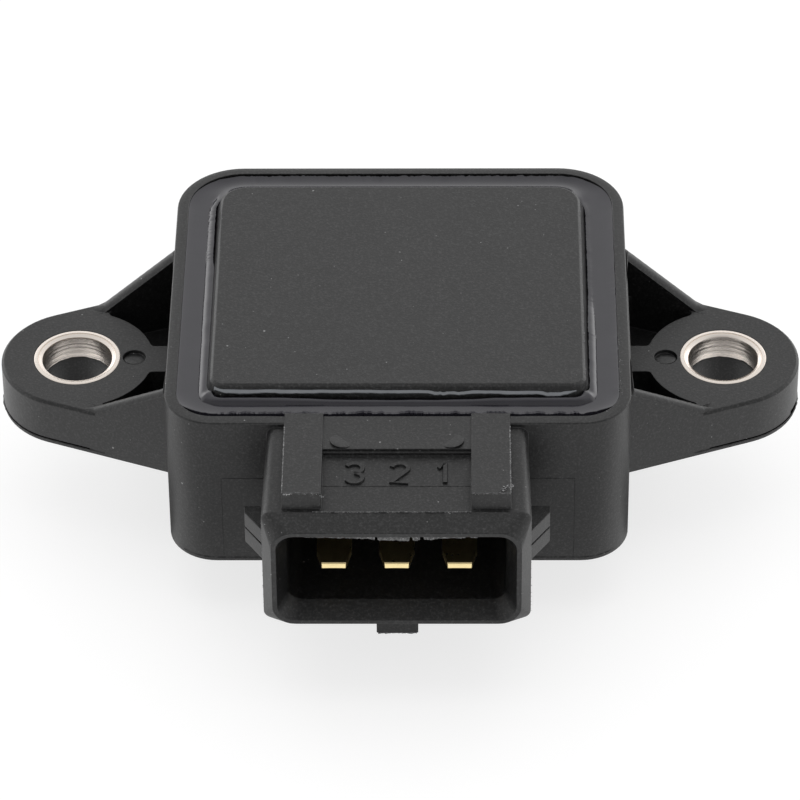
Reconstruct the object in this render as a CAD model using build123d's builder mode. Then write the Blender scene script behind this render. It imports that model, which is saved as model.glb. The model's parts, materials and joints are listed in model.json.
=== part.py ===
# Throttle position sensor: a sealed rotary potentiometer in a black plastic housing with two fixing ears.
# Frame: origin on the rotor axis at the underside of the body, +Z up through the cover,
# the plug socket faces -Y and the two ears lie along X. All sizes are in millimetres.
import os

from build123d import *

os.makedirs("parts", exist_ok=True)

# Fits and clearances
insert_fit = 0.02
running_fit = 0.05
board_fit = 0.15
film_gap = 0.06
stop_margin = 0.5

# Body shell
body_width = 37.7
body_depth = 34.5
body_height = 14.57
rear_corner = 5.5
front_corner = 4.0
rim_width = 0.95
rim_bevel = 0.1
base_bevel = 0.1
floor_thickness = 2.0
pocket_wall = 2.85

# Cover and poured seal
seal_drop = 0.25
seal_depth = 1.45
seal_bead_height = 0.45
seal_bead_width = 0.75
flange_thickness = 1.0
plateau_width = 30.24
plateau_depth = 26.85
plateau_rise = 0.9
plateau_flare = 0.4
plateau_rear_corner = 2.2
plateau_front_corner = 1.1
plateau_bevel = 0.18
cover_roof = 1.5
cover_skirt = 1.6
pivot_boss_radius = 3.6

# Fixing ears
hole_spacing = 54.0
boss_radius = 6.335
ear_top = 7.63
ear_thickness = 4.42
ear_root_width = 19.9
ear_bevel = 0.22
ear_base_bevel = 0.1
gusset_wall = 1.2
gusset_rise = 3.95
gusset_start = 6.2
gusset_sink = 0.5
ear_floor = 1.2
rib_width = 3.45
pocket_clearance = 6.4
pocket_shift = 0.2
pocket_round = 0.4
ejector_radius = 0.95
ejector_depth = 0.35
ejector_offset = 4.8
boss_pad_radius = 4.6
boss_pad_drop = 0.8

# Metal bushings in the ears
bushing_outer = 7.22
bushing_bore = 5.8
bushing_length = 2.3
bushing_bevel = 0.35

# Plug socket
socket_height = 8.02
shroud_root_width = 20.9
shroud_width = 21.35
shroud_depth = 11.04
shroud_slope = 0.7
shroud_corner = 0.75
shroud_root_sink = 1.2
lip_reach = 27.02
mouth_reach = 28.7
lip_bevel = 0.79
mouth_ring = 0.37
lead_in = 0.8
lead_in_length = 1.74
mouth_corner = 1.45
socket_corner = 1.2
socket_floor_reach = 16.8

# Coding ribs and the stepped panel on top of the socket
coding_rib_width = 3.12
coding_rib_offset = 7.48
coding_rib_reach = 26.3
coding_rib_foot = 0.45
coding_rib_rise = 0.3
panel_reach = 20.45
panel_step_reach = 0.12
panel_step_drop = 0.3

# Lugs for the plug's latch
lug_height = 3.04
lug_rise = 1.55
lug_rear_reach = 21.5
lug_land = 0.83
lug_ramp = 2.32
lug_sink = 1.0
lug_groove = 0.16
lug_groove_depth = 0.3
tab_width = 3.34
tab_drop = 1.65
tab_length = 2.0

# Spigot under the body, with its seal groove
spigot_radius = 9.1
spigot_length = 5.6
spigot_bevel = 0.4
seal_section = 2.0
seal_sides = 12
seal_root_radius = 7.45
groove_width = 2.6
groove_land = 1.0

# Rotor
travel_angle = 95.0
track_middle_angle = 90.0
journal_radius = 6.0
journal_recess = 0.2
thrust_gap = 0.1
disc_radius = 11.0
disc_thickness = 2.4
hub_radius = 4.0
hub_top = 6.0
stub_radius = 2.0
stub_top = 9.9
well_gap = 0.4
lug_reach = 13.2
lug_span_angle = 20.0
lug_pocket_gap = 0.4
shaft_radius = 4.05
shaft_flat = 2.7
shaft_socket_depth = 7.0
shaft_lead_in = 0.4
spring_thickness = 0.25
spring_width = 3.6
spring_length = 5.2
spring_bow = 0.7
spring_slot_depth = 0.6
spring_slot_margin = 0.2
stake_radius = 0.6
stake_head_radius = 0.95
stake_head_height = 0.3
stake_circle_radius = 5.3
stake_spread_angle = 75.0

# Wiper
arm_thickness = 0.3
arm_ring_width = 2.6
arm_length = 9.7
arm_near = 1.9
arm_far = 5.0
arm_trim_radius = 10.8
brush_thickness = 0.2
brush_width = 1.2
brush_slot = 0.16
brush_foot = 2.0
brush_bend = 0.35
brush_heel = 0.5
brush_heel_drop = 0.25

# Board, printed films and terminals
board_bottom = 6.6
board_thickness = 0.8
board_hole_radius = 4.6
film_thickness = 0.05
film_width = 1.4
outer_track_radius = 9.0
inner_track_radius = 6.4
track_overrun_angle = 8.0
conductor_width = 0.8
feed_spread_angle = 30.0
pad_radius = 1.3
series_length = 1.6
pin_pitch = 5.0
pin_width = 2.8
pin_thickness = 0.64
pin_tip_reach = 27.1
pin_tip_width = 1.93
pin_taper = 1.7
pin_bevel = 0.1
pin_tail_width = 1.2
pin_leg_inset = 2.05
pin_leg_hole = 0.75
pin_leg_tail = 0.7
trough_depth = 1.2
trough_margin = 0.35
solder_height = 0.5
solder_foot = 0.85
solder_taper_angle = 35.0

# Directions about the rotor axis: the front of the part, and half a turn
front_angle = 270.0
half_turn_angle = 180.0

# Heights and reaches that follow from the sizes above
half_width = body_width / 2
half_depth = body_depth / 2
hole_x = hole_spacing / 2
ear_bottom = ear_top - ear_thickness
seal_top = body_height - seal_drop
flange_top = seal_top - seal_depth
cover_seat = flange_top - flange_thickness
plateau_top = body_height + plateau_rise
shroud_top = socket_height + shroud_depth / 2
shroud_bottom = socket_height - shroud_depth / 2
rib_top = body_height + coding_rib_rise
stake_start = half_turn_angle - stake_spread_angle / 2
lug_peak_reach = lug_rear_reach + lug_land
lug_front_reach = lug_peak_reach + lug_ramp
socket_width = shroud_width - 2 * (lip_bevel + mouth_ring + lead_in)
socket_depth = shroud_depth - 2 * (lip_bevel + mouth_ring + lead_in)
disc_bottom = floor_thickness + thrust_gap
disc_top = disc_bottom + disc_thickness
rotor_bottom = journal_recess - spigot_length
well_radius = disc_radius + well_gap
lug_pocket_radius = lug_reach + lug_pocket_gap
arm_top = disc_top + arm_thickness
film_bottom = board_bottom - film_thickness
blade_end = half_depth - pocket_wall - board_fit
pin_leg_reach = blade_end - pin_leg_inset
idle_angle = track_middle_angle - travel_angle / 2
track_start = idle_angle - track_overrun_angle
track_sweep = travel_angle + 2 * track_overrun_angle
track_end = track_start + track_sweep
pin_offsets = {"terminal_1": pin_pitch, "terminal_2": 0.0, "terminal_3": -pin_pitch}


def rounded_plan(width, depth, front_radius, rear_radius, height):
    """Plan outline at a height, with one radius for its two front corners and one for its two rear ones."""
    with BuildSketch(Plane.XY.offset(height)) as plan:
        Rectangle(width, depth)
        fillet(plan.vertices().group_by(Axis.Y)[0], front_radius)
        fillet(plan.vertices().group_by(Axis.Y)[-1], rear_radius)
    return plan.sketch


def body_plan(inset, height):
    """Outline of the body drawn in from its outside by an inset."""
    return rounded_plan(
        body_width - 2 * inset, body_depth - 2 * inset, front_corner - inset, rear_corner - inset, height
    )


def plateau_plan(grow, height):
    """Outline of the cover's plateau, grown outward from its top edge."""
    return rounded_plan(
        plateau_width + 2 * grow, plateau_depth + 2 * grow,
        plateau_front_corner + grow, plateau_rear_corner + grow, height,
    )


def socket_section(width, bottom, top, corner, reach):
    """Upright rounded section of the plug socket at a distance in front of the rotor axis."""
    with BuildSketch(Plane.XZ.offset(reach)) as section:
        with Locations((0, (bottom + top) / 2)):
            RectangleRounded(width, top - bottom, corner)
    return section.sketch


def rotor_plane(height):
    """Level plane turned with the rotor: its X axis points along the wiper's contact line at rest."""
    return Plane.XY.offset(height).rotated((0, 0, idle_angle))


def film(radius, start, sweep, width):
    """Band of printed film along an arc on the underside of the board."""
    with BuildSketch(Plane.XY.offset(film_bottom)) as band:
        with BuildLine():
            CenterArc((0, 0), radius, start, sweep)
        trace(line_width=width)
    return band.sketch


# One ear: a round boss with tangent walls, two pockets beside a middle rib and walls rising to the body
with BuildSketch(Plane.XY.offset(ear_bottom)) as ear_plan:
    with Locations((hole_x, 0)):
        Circle(boss_radius)
    with Locations((half_width - rim_width / 2, 0)):
        Rectangle(rim_width, ear_root_width)
    make_hull(ear_plan.edges())

with BuildSketch(Plane.XY.offset(ear_bottom)) as ear_inside:
    add(ear_plan.sketch)
    offset(amount=-gusset_wall, kind=Kind.INTERSECTION)

with BuildPart() as gussets:
    with BuildSketch(Plane.XZ):
        with BuildLine():
            Polyline(
                (half_width - rim_width, ear_top - gusset_sink),
                (half_width + gusset_start, ear_top - gusset_sink),
                (half_width + gusset_start, ear_top),
                (half_width, ear_top + gusset_rise),
                (half_width - rim_width, ear_top + gusset_rise),
                close=True,
            )
        make_face()
    extrude(amount=ear_root_width, both=True)
    with BuildSketch(Plane.XY.offset(ear_bottom)):
        add(ear_plan.sketch)
        add(ear_inside.sketch.moved(Location((0, -pocket_shift, 0))), mode=Mode.SUBTRACT)
    extrude(amount=ear_thickness + gusset_rise, mode=Mode.INTERSECT)

with BuildPart() as ear:
    extrude(ear_plan.sketch, amount=ear_thickness)
    chamfer(ear.faces().sort_by(Axis.Z)[-1].edges(), ear_bevel)
    chamfer(ear.faces().sort_by(Axis.Z)[0].edges(), ear_base_bevel)
    add(gussets.part)
    with BuildSketch(Plane.XY.offset(ear_bottom + ear_floor)) as pockets:
        add(ear_inside.sketch.moved(Location((0, -pocket_shift, -ear_bottom))))
        with Locations((hole_x, -pocket_shift)):
            Circle(pocket_clearance, mode=Mode.SUBTRACT)
            Rectangle(hole_spacing, rib_width, mode=Mode.SUBTRACT)
        with Locations((hole_x + boss_radius, 0)):
            Rectangle(2 * boss_radius, hole_spacing, mode=Mode.SUBTRACT)
        with Locations((half_width / 2, 0)):
            Rectangle(half_width, hole_spacing, mode=Mode.SUBTRACT)
        fillet(pockets.vertices(), pocket_round)
    extrude(amount=ear_thickness + gusset_rise, mode=Mode.SUBTRACT)
    with BuildSketch(Plane.XY.offset(ear_bottom - boss_pad_drop)):
        with Locations((hole_x, 0)):
            Circle(boss_pad_radius)
    extrude(amount=boss_pad_drop)
    with Locations((hole_x, 0, ear_top)):
        CounterBoreHole(
            bushing_bore / 2,
            bushing_outer / 2 + insert_fit,
            bushing_length,
            depth=ear_thickness + boss_pad_drop,
        )
    with Locations((hole_x - ejector_offset, 0, ear_top)):
        Hole(ejector_radius, depth=ejector_depth)

# Latch lugs on the sides of the socket: a ramp, split by the mould's parting groove
with BuildPart() as side_lug:
    lug_root = shroud_width / 2 - lug_sink
    lug_edge = shroud_width / 2 + lug_rise
    with BuildSketch(Plane.XY.offset(socket_height - lug_height / 2)) as lug_plan:
        with BuildLine():
            Polyline(
                (lug_root, -lug_front_reach - lug_sink),
                (shroud_width / 2, -lug_front_reach),
                (lug_edge, -lug_peak_reach),
                (lug_edge, -lug_rear_reach),
                (lug_root, -lug_rear_reach),
                close=True,
            )
        make_face()
    extrude(amount=lug_height)
    with BuildSketch(Plane.XY.offset(socket_height - lug_groove / 2)):
        groove_lift = lug_height / 2 - socket_height
        inset = Location((-lug_groove_depth, lug_groove_depth, groove_lift))
        add(lug_plan.sketch.moved(Location((0, 0, groove_lift))))
        add(lug_plan.sketch.moved(inset), mode=Mode.SUBTRACT)
    extrude(amount=lug_groove, mode=Mode.SUBTRACT)

# Panel over the socket, from the rim to its front step
panel_depth = panel_reach - half_depth + rim_width
panel_middle = (panel_reach + half_depth - rim_width) / 2

# The housing: everything moulded in one piece
with BuildPart() as housing:
    extrude(body_plan(0, 0), amount=body_height)
    chamfer(housing.faces().sort_by(Axis.Z)[-1].edges(), rim_bevel)
    chamfer(housing.faces().sort_by(Axis.Z)[0].edges(), base_bevel)
    add(ear.part)
    add(mirror(ear.part, about=Plane.YZ, mode=Mode.PRIVATE))
    # Shroud of the plug socket, widening a little to its bevelled lip
    loft(
        [
            socket_section(
                shroud_root_width, shroud_bottom, shroud_top + shroud_slope, shroud_corner,
                half_depth - shroud_root_sink,
            ),
            socket_section(shroud_width, shroud_bottom, shroud_top, shroud_corner, lip_reach),
        ],
        ruled=True,
    )
    loft(
        [
            socket_section(shroud_width, shroud_bottom, shroud_top, shroud_corner, lip_reach),
            socket_section(
                shroud_width - 2 * lip_bevel, shroud_bottom + lip_bevel, shroud_top - lip_bevel,
                mouth_corner + mouth_ring, mouth_reach,
            ),
        ],
        ruled=True,
    )
    add(side_lug.part)
    add(mirror(side_lug.part, about=Plane.YZ, mode=Mode.PRIVATE))
    # Latch tab under the lip
    with BuildSketch(Plane.XY.offset(shroud_bottom - tab_drop)):
        with Locations((0, tab_length / 2 - lip_reach)):
            Rectangle(tab_width, tab_length)
    extrude(amount=tab_drop + lip_bevel)
    # Stepped panel and the two coding ribs
    with BuildSketch(Plane.XY.offset(shroud_top - lip_bevel)):
        with Locations((0, -panel_middle)):
            Rectangle(2 * coding_rib_offset, panel_depth)
    extrude(amount=body_height - shroud_top + lip_bevel)
    with BuildSketch(Plane.XY.offset(shroud_top - lip_bevel)):
        with Locations((0, -panel_middle - panel_step_reach / 2)):
            Rectangle(2 * coding_rib_offset, panel_depth + panel_step_reach)
    extrude(amount=body_height - panel_step_drop - shroud_top + lip_bevel)
    for side in (-1, 1):
        with BuildSketch(Plane.YZ.offset(side * coding_rib_offset)):
            with BuildLine():
                Polyline(
                    (rim_width - half_depth, shroud_top - lip_bevel),
                    (-coding_rib_reach - coding_rib_foot, shroud_top - lip_bevel),
                    (-coding_rib_reach, rib_top),
                    (rim_width - half_depth, rib_top),
                    close=True,
                )
            make_face()
        extrude(amount=coding_rib_width / 2, both=True)
    # Spigot with the seal groove, turned about the rotor axis
    with BuildSketch(Plane.XZ):
        with BuildLine():
            Polyline(
                (0, floor_thickness),
                (spigot_radius, floor_thickness),
                (spigot_radius, -groove_land),
                (seal_root_radius - insert_fit, -groove_land),
                (seal_root_radius - insert_fit, -groove_land - groove_width),
                (spigot_radius, -groove_land - groove_width),
                (spigot_radius, spigot_bevel - spigot_length),
                (spigot_radius - spigot_bevel, -spigot_length),
                (0, -spigot_length),
                close=True,
            )
        make_face()
    revolve(axis=Axis.Z)
    # Hollow for the plug, with a lead-in at its mouth
    loft(
        [
            socket_section(
                socket_width + 2 * lead_in, socket_height - socket_depth / 2 - lead_in,
                socket_height + socket_depth / 2 + lead_in, mouth_corner, mouth_reach,
            ),
            socket_section(
                socket_width, socket_height - socket_depth / 2, socket_height + socket_depth / 2,
                socket_corner, mouth_reach - lead_in_length,
            ),
        ],
        ruled=True,
        mode=Mode.SUBTRACT,
    )
    extrude(
        socket_section(
            socket_width, socket_height - socket_depth / 2, socket_height + socket_depth / 2,
            socket_corner, socket_floor_reach,
        ),
        amount=mouth_reach - lead_in_length - socket_floor_reach,
        mode=Mode.SUBTRACT,
    )
    # Recess for the cover, pocket for the board and well for the rotor with the path of its stop lug
    extrude(body_plan(rim_width, cover_seat), amount=body_height, mode=Mode.SUBTRACT)
    extrude(body_plan(pocket_wall, board_bottom), amount=body_height, mode=Mode.SUBTRACT)
    with BuildSketch(Plane.XY.offset(floor_thickness)):
        Circle(well_radius)
        with BuildLine():
            lug_path_radius = (lug_pocket_radius + disc_radius) / 2
            CenterArc(
                (0, 0), lug_path_radius, idle_angle + half_turn_angle - lug_span_angle / 2 - stop_margin,
                travel_angle + lug_span_angle + 2 * stop_margin,
            )
        trace(line_width=lug_pocket_radius - disc_radius)
    extrude(amount=body_height, mode=Mode.SUBTRACT)
    with Locations((0, 0, floor_thickness)):
        Hole(journal_radius + running_fit)
    # Trough under the front edge of the board for the terminals' legs
    with BuildSketch(Plane.XY.offset(board_bottom - trough_depth)):
        with Locations((0, -(pin_leg_reach + pad_radius + trough_margin) / 2)):
            Rectangle(
                2 * (pin_pitch + pad_radius + trough_margin),
                pin_leg_reach + pad_radius + trough_margin,
            )
    extrude(amount=2 * trough_depth, mode=Mode.SUBTRACT)
    # Slots that the moulded-in terminals fill
    with BuildSketch(Plane.XZ.offset(blade_end)):
        with Locations((0, socket_height)):
            with GridLocations(pin_pitch, 0, len(pin_offsets), 1):
                Rectangle(pin_width + 2 * insert_fit, pin_thickness + 2 * insert_fit)
    extrude(amount=socket_floor_reach + board_fit - blade_end, mode=Mode.SUBTRACT)
housing.part.label = "housing"
export_step(housing.part, "parts/housing.step")

# Cover: a flange on the housing's ledge, the raised plateau and the upper pivot of the rotor
with BuildPart() as cover:
    loft([plateau_plan(plateau_flare, seal_top), plateau_plan(0, plateau_top)], ruled=True)
    chamfer(cover.faces().sort_by(Axis.Z)[-1].edges(), plateau_bevel)
    extrude(plateau_plan(plateau_flare, flange_top), amount=seal_depth)
    extrude(body_plan(rim_width + running_fit, cover_seat), amount=flange_thickness)
    extrude(
        plateau_plan(-cover_skirt / 2, cover_seat),
        amount=plateau_top - cover_roof - cover_seat,
        mode=Mode.SUBTRACT,
    )
    with BuildSketch(Plane.XY.offset(plateau_top - cover_roof)):
        Circle(pivot_boss_radius)
    extrude(amount=hub_top + thrust_gap + board_thickness + board_fit - plateau_top + cover_roof)
    with Locations((0, 0, plateau_top - cover_roof)):
        Cylinder(
            stub_radius + running_fit, plateau_top - cover_roof,
            align=(Align.CENTER, Align.CENTER, Align.MAX), mode=Mode.SUBTRACT,
        )
cover.part.label = "cover"
export_step(cover.part, "parts/cover.step")

# Poured sealing compound: fills the channel and creeps up the plateau as a bead
with BuildPart() as sealing_compound:
    extrude(body_plan(rim_width + insert_fit, flange_top), amount=seal_depth)
    loft(
        [
            plateau_plan(plateau_flare + seal_bead_width, seal_top),
            plateau_plan(plateau_flare, seal_top + seal_bead_height),
        ],
        ruled=True,
    )
    extrude(plateau_plan(plateau_flare + insert_fit, flange_top), amount=plateau_top, mode=Mode.SUBTRACT)
sealing_compound.part.label = "sealing_compound"
export_step(sealing_compound.part, "parts/sealing_compound.step")

# Metal bushings set flush in the ears
for name, side in (("left_bushing", -1), ("right_bushing", 1)):
    with BuildPart() as bushing:
        with BuildSketch(Plane.XY.offset(ear_top - bushing_length)):
            with Locations((side * hole_x, 0)):
                Circle(bushing_outer / 2)
                Circle(bushing_bore / 2, mode=Mode.SUBTRACT)
        extrude(amount=bushing_length)
        chamfer(bushing.edges().filter_by(GeomType.CIRCLE).sort_by(SortBy.RADIUS)[:2], bushing_bevel)
    bushing.part.label = name
    export_step(bushing.part, f"parts/{name}.step")

# Blade terminals: a tapered tip in the socket, a narrow tail and a leg through the board
for name, offset_x in pin_offsets.items():
    with BuildPart() as terminal:
        with BuildSketch(Plane.XY.offset(socket_height - pin_thickness / 2)):
            with BuildLine():
                Polyline(
                    (offset_x - pin_tip_width / 2, -pin_tip_reach),
                    (offset_x + pin_tip_width / 2, -pin_tip_reach),
                    (offset_x + pin_width / 2, pin_taper - pin_tip_reach),
                    (offset_x + pin_width / 2, -blade_end),
                    (offset_x + pin_tail_width / 2, -blade_end),
                    (offset_x + pin_tail_width / 2, pin_thickness / 2 - pin_leg_reach),
                    (offset_x - pin_tail_width / 2, pin_thickness / 2 - pin_leg_reach),
                    (offset_x - pin_tail_width / 2, -blade_end),
                    (offset_x - pin_width / 2, -blade_end),
                    (offset_x - pin_width / 2, pin_taper - pin_tip_reach),
                    close=True,
                )
            make_face()
        extrude(amount=pin_thickness)
        tip = terminal.faces().sort_by(Axis.Y)[0]
        chamfer(tip.edges().filter_by(Axis.X), pin_bevel)
        with BuildSketch(Plane.XY.offset(board_bottom - pin_leg_tail)):
            with Locations((offset_x, -pin_leg_reach)):
                Rectangle(pin_thickness, pin_thickness)
        extrude(amount=socket_height - board_bottom + pin_leg_tail)
    terminal.part.label = name
    export_step(terminal.part, f"parts/{name}.step")

# Resistor board on the ledge of its pocket
with BuildPart() as resistor_board:
    extrude(body_plan(pocket_wall + board_fit, board_bottom), amount=board_thickness)
    with Locations((0, 0, board_bottom + board_thickness)):
        Hole(board_hole_radius)
        with Locations((0, -pin_leg_reach)):
            with GridLocations(pin_pitch, 0, len(pin_offsets), 1):
                Hole(pin_leg_hole)
resistor_board.part.label = "resistor_board"
export_step(resistor_board.part, "parts/resistor_board.step")

# Printed tracks: the resistance track outside, the collector track inside
for name, radius in (("resistance_track", outer_track_radius), ("collector_track", inner_track_radius)):
    with BuildPart() as track:
        extrude(film(radius, track_start, track_sweep, film_width), amount=film_thickness)
    track.part.label = name
    export_step(track.part, f"parts/{name}.step")

# Series resistor of the wiper circuit, printed between the middle pad and the collector
series_top = -inner_track_radius - conductor_width / 2
with BuildPart() as series_resistor:
    with BuildSketch(Plane.XY.offset(film_bottom)):
        with Locations((0, series_top - series_length / 2)):
            Rectangle(film_width, series_length)
    extrude(amount=film_thickness)
series_resistor.part.label = "series_resistor"
export_step(series_resistor.part, "parts/series_resistor.step")

# Conductor prints from the pads to the ends of the tracks
with BuildPart() as conductor_prints:
    with BuildSketch(Plane.XY.offset(film_bottom)):
        with BuildLine():
            right_sweep = front_angle - 2 * half_turn_angle + feed_spread_angle - track_start
            right_run = CenterArc((0, 0), outer_track_radius, track_start, right_sweep)
            Line(right_run @ 1, (pin_pitch, -pin_leg_reach))
        trace(line_width=conductor_width)
        with BuildLine():
            left_sweep = front_angle - feed_spread_angle - track_end
            left_run = CenterArc((0, 0), outer_track_radius, track_end, left_sweep)
            Line(left_run @ 1, (-pin_pitch, -pin_leg_reach))
        trace(line_width=conductor_width)
        with BuildLine():
            CenterArc((0, 0), inner_track_radius, track_end, front_angle - track_end)
        trace(line_width=conductor_width)
        with BuildLine():
            Line((0, series_top - series_length), (0, -pin_leg_reach))
        trace(line_width=conductor_width)
        with Locations((0, -pin_leg_reach)):
            with GridLocations(pin_pitch, 0, len(pin_offsets), 1):
                Circle(pad_radius)
                Circle(pin_leg_hole, mode=Mode.SUBTRACT)
    extrude(amount=film_thickness)
conductor_prints.part.label = "conductor_prints"
export_step(conductor_prints.part, "parts/conductor_prints.step")

# Solder joints around the square legs, under the pads
with BuildPart() as solder_joints:
    with BuildSketch(Plane.XY.offset(film_bottom)):
        with Locations((0, -pin_leg_reach)):
            with GridLocations(pin_pitch, 0, len(pin_offsets), 1):
                Rectangle(2 * solder_foot, 2 * solder_foot)
    extrude(amount=-solder_height, taper=solder_taper_angle)
    with BuildSketch(Plane.XY.offset(film_bottom)):
        with Locations((0, -pin_leg_reach)):
            with GridLocations(pin_pitch, 0, len(pin_offsets), 1):
                Rectangle(pin_thickness + 2 * insert_fit, pin_thickness + 2 * insert_fit)
    extrude(amount=-solder_height, mode=Mode.SUBTRACT)
solder_joints.part.label = "solder_joints"
export_step(solder_joints.part, "parts/solder_joints.step")

# Rotor: journal with the shaft socket, disc with the stop lug, hub, upper pivot and two stakes
spring_middle = rotor_bottom + shaft_socket_depth / 2
with BuildPart() as rotor:
    with BuildSketch(rotor_plane(rotor_bottom)):
        Circle(journal_radius)
    extrude(amount=disc_bottom - rotor_bottom)
    with BuildSketch(rotor_plane(disc_bottom)):
        Circle(disc_radius)
        with BuildLine():
            lug_start = half_turn_angle - lug_span_angle / 2
            CenterArc((0, 0), (lug_reach + hub_radius) / 2, lug_start, lug_span_angle)
        trace(line_width=lug_reach - hub_radius)
    extrude(amount=disc_thickness)
    with BuildSketch(rotor_plane(disc_top)):
        Circle(hub_radius)
    extrude(amount=hub_top - disc_top)
    with BuildSketch(rotor_plane(hub_top)):
        Circle(stub_radius)
    extrude(amount=stub_top - hub_top)
    with BuildSketch(rotor_plane(disc_top)):
        with PolarLocations(stake_circle_radius, 2, stake_start, 2 * stake_spread_angle):
            Circle(stake_radius)
    extrude(amount=arm_thickness)
    with BuildSketch(rotor_plane(arm_top)):
        with PolarLocations(stake_circle_radius, 2, stake_start, 2 * stake_spread_angle):
            Circle(stake_head_radius)
    extrude(amount=stake_head_height)
    # Flatted socket for the throttle shaft, with a lead-in and a slot for the leaf spring
    with BuildSketch(rotor_plane(rotor_bottom)):
        Circle(shaft_radius)
        with Locations((shaft_flat + shaft_radius, 0)):
            Rectangle(2 * shaft_radius, 2 * shaft_radius, mode=Mode.SUBTRACT)
    extrude(amount=shaft_socket_depth, mode=Mode.SUBTRACT)
    with BuildSketch(rotor_plane(spring_middle - spring_length / 2 - spring_slot_margin)):
        with Locations((shaft_flat, 0)):
            Rectangle(2 * spring_slot_depth, spring_width + 2 * spring_slot_margin)
    extrude(amount=spring_length + 2 * spring_slot_margin, mode=Mode.SUBTRACT)
    mouth_edges = rotor.faces().sort_by(Axis.Z)[0].inner_wires()[0].edges()
    chamfer(mouth_edges, shaft_lead_in)
rotor.part.label = "rotor"
export_step(rotor.part, "parts/rotor.step")

# Leaf spring bowed out of its slot towards the shaft's flat
with BuildPart() as shaft_spring:
    spring_seat = shaft_flat + spring_slot_depth - spring_thickness
    side_plane = Plane(rotor_plane(0).origin, rotor_plane(0).x_dir, -rotor_plane(0).y_dir)
    with BuildSketch(side_plane):
        with BuildLine():
            ThreePointArc(
                (spring_seat, spring_middle - spring_length / 2),
                (spring_seat - spring_bow, spring_middle),
                (spring_seat, spring_middle + spring_length / 2),
            )
        trace(line_width=spring_thickness)
    extrude(amount=spring_width / 2, both=True)
shaft_spring.part.label = "shaft_spring"
export_step(shaft_spring.part, "parts/shaft_spring.step")

# Wiper arm: a sheet ring round the hub with a tongue that carries the two brushes
with BuildPart() as wiper_arm:
    with BuildSketch(rotor_plane(disc_top)):
        Circle(hub_radius + arm_ring_width)
        with Locations((arm_length / 2, -(arm_near + arm_far) / 2)):
            Rectangle(arm_length, arm_far - arm_near)
        Circle(arm_trim_radius, mode=Mode.INTERSECT)
        Circle(hub_radius + running_fit, mode=Mode.SUBTRACT)
        with PolarLocations(stake_circle_radius, 2, stake_start, 2 * stake_spread_angle):
            Circle(stake_radius + running_fit, mode=Mode.SUBTRACT)
    extrude(amount=arm_thickness)
wiper_arm.part.label = "wiper_arm"
export_step(wiper_arm.part, "parts/wiper_arm.step")

# Brushes: a foot on the tongue, a slotted sprung strip and a heel that runs under the track
brush_root = -arm_near - brush_foot
contact_height = film_bottom - film_gap - brush_thickness / 2
for name, radius in (("resistance_brush", outer_track_radius), ("collector_brush", inner_track_radius)):
    with BuildPart() as brush:
        level = rotor_plane(0)
        strip_plane = Plane(level.origin + level.x_dir * radius, level.y_dir, level.x_dir)
        with BuildSketch(strip_plane):
            with BuildLine():
                FilletPolyline(
                    (brush_root, arm_top + brush_thickness / 2),
                    (-arm_near, arm_top + brush_thickness / 2),
                    (0, contact_height),
                    (brush_heel, contact_height - brush_heel_drop),
                    radius=brush_bend,
                )
            trace(line_width=brush_thickness)
        extrude(amount=brush_width / 2, both=True)
        with BuildSketch(rotor_plane(arm_top + brush_thickness)):
            with Locations((radius, 0)):
                with GridLocations(brush_width / 3, 0, 2, 1):
                    Rectangle(brush_slot, 2 * arm_near)
        extrude(amount=board_bottom - arm_top, mode=Mode.SUBTRACT)
    brush.part.label = name
    export_step(brush.part, f"parts/{name}.step")

# Seal ring in the spigot's groove
with BuildPart() as o_ring:
    with BuildSketch(Plane.XZ):
        with Locations((seal_root_radius + seal_section / 2, -groove_land - groove_width / 2)):
            RegularPolygon(seal_section / 2, seal_sides)
    revolve(axis=Axis.Z)
o_ring.part.label = "o_ring"
export_step(o_ring.part, "parts/o_ring.step")
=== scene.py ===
# %% [markdown]
# A throttle position sensor, dressed for its portrait. The solids of this part come in ready made, at their
# real size, and this lesson gives them their looks: moulded black plastic, a poured glossy seal, turned
# metal bushings, gold blades, and the small marks that a mould leaves behind. Nothing here moves or resizes
# a solid, so every size below is read from the frame or named in millimetres beside the piece that uses it.

import json
import math
import random

import bpy
from mathutils import Euler, Matrix, Vector, noise
from mathutils.bvhtree import BVHTree


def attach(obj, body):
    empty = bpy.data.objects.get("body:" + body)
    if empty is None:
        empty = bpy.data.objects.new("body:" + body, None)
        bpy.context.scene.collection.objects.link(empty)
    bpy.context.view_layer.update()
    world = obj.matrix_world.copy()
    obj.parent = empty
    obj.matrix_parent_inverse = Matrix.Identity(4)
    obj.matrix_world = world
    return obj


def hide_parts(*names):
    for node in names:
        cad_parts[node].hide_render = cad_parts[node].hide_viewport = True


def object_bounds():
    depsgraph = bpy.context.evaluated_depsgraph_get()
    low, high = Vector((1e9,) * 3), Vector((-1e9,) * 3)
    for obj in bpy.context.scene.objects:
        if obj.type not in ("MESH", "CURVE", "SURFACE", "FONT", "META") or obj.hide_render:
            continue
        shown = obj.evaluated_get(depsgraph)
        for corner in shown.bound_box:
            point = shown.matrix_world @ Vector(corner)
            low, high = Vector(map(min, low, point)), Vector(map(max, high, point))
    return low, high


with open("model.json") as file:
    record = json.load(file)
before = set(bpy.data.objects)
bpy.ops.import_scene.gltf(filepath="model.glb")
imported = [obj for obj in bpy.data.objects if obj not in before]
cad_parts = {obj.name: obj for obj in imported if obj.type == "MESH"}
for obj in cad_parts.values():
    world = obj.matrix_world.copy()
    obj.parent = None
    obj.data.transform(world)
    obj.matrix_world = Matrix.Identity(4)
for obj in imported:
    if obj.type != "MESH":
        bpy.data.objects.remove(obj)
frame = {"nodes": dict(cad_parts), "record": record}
nodes = frame["nodes"]
cad_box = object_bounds()
MM = 0.001

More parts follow.
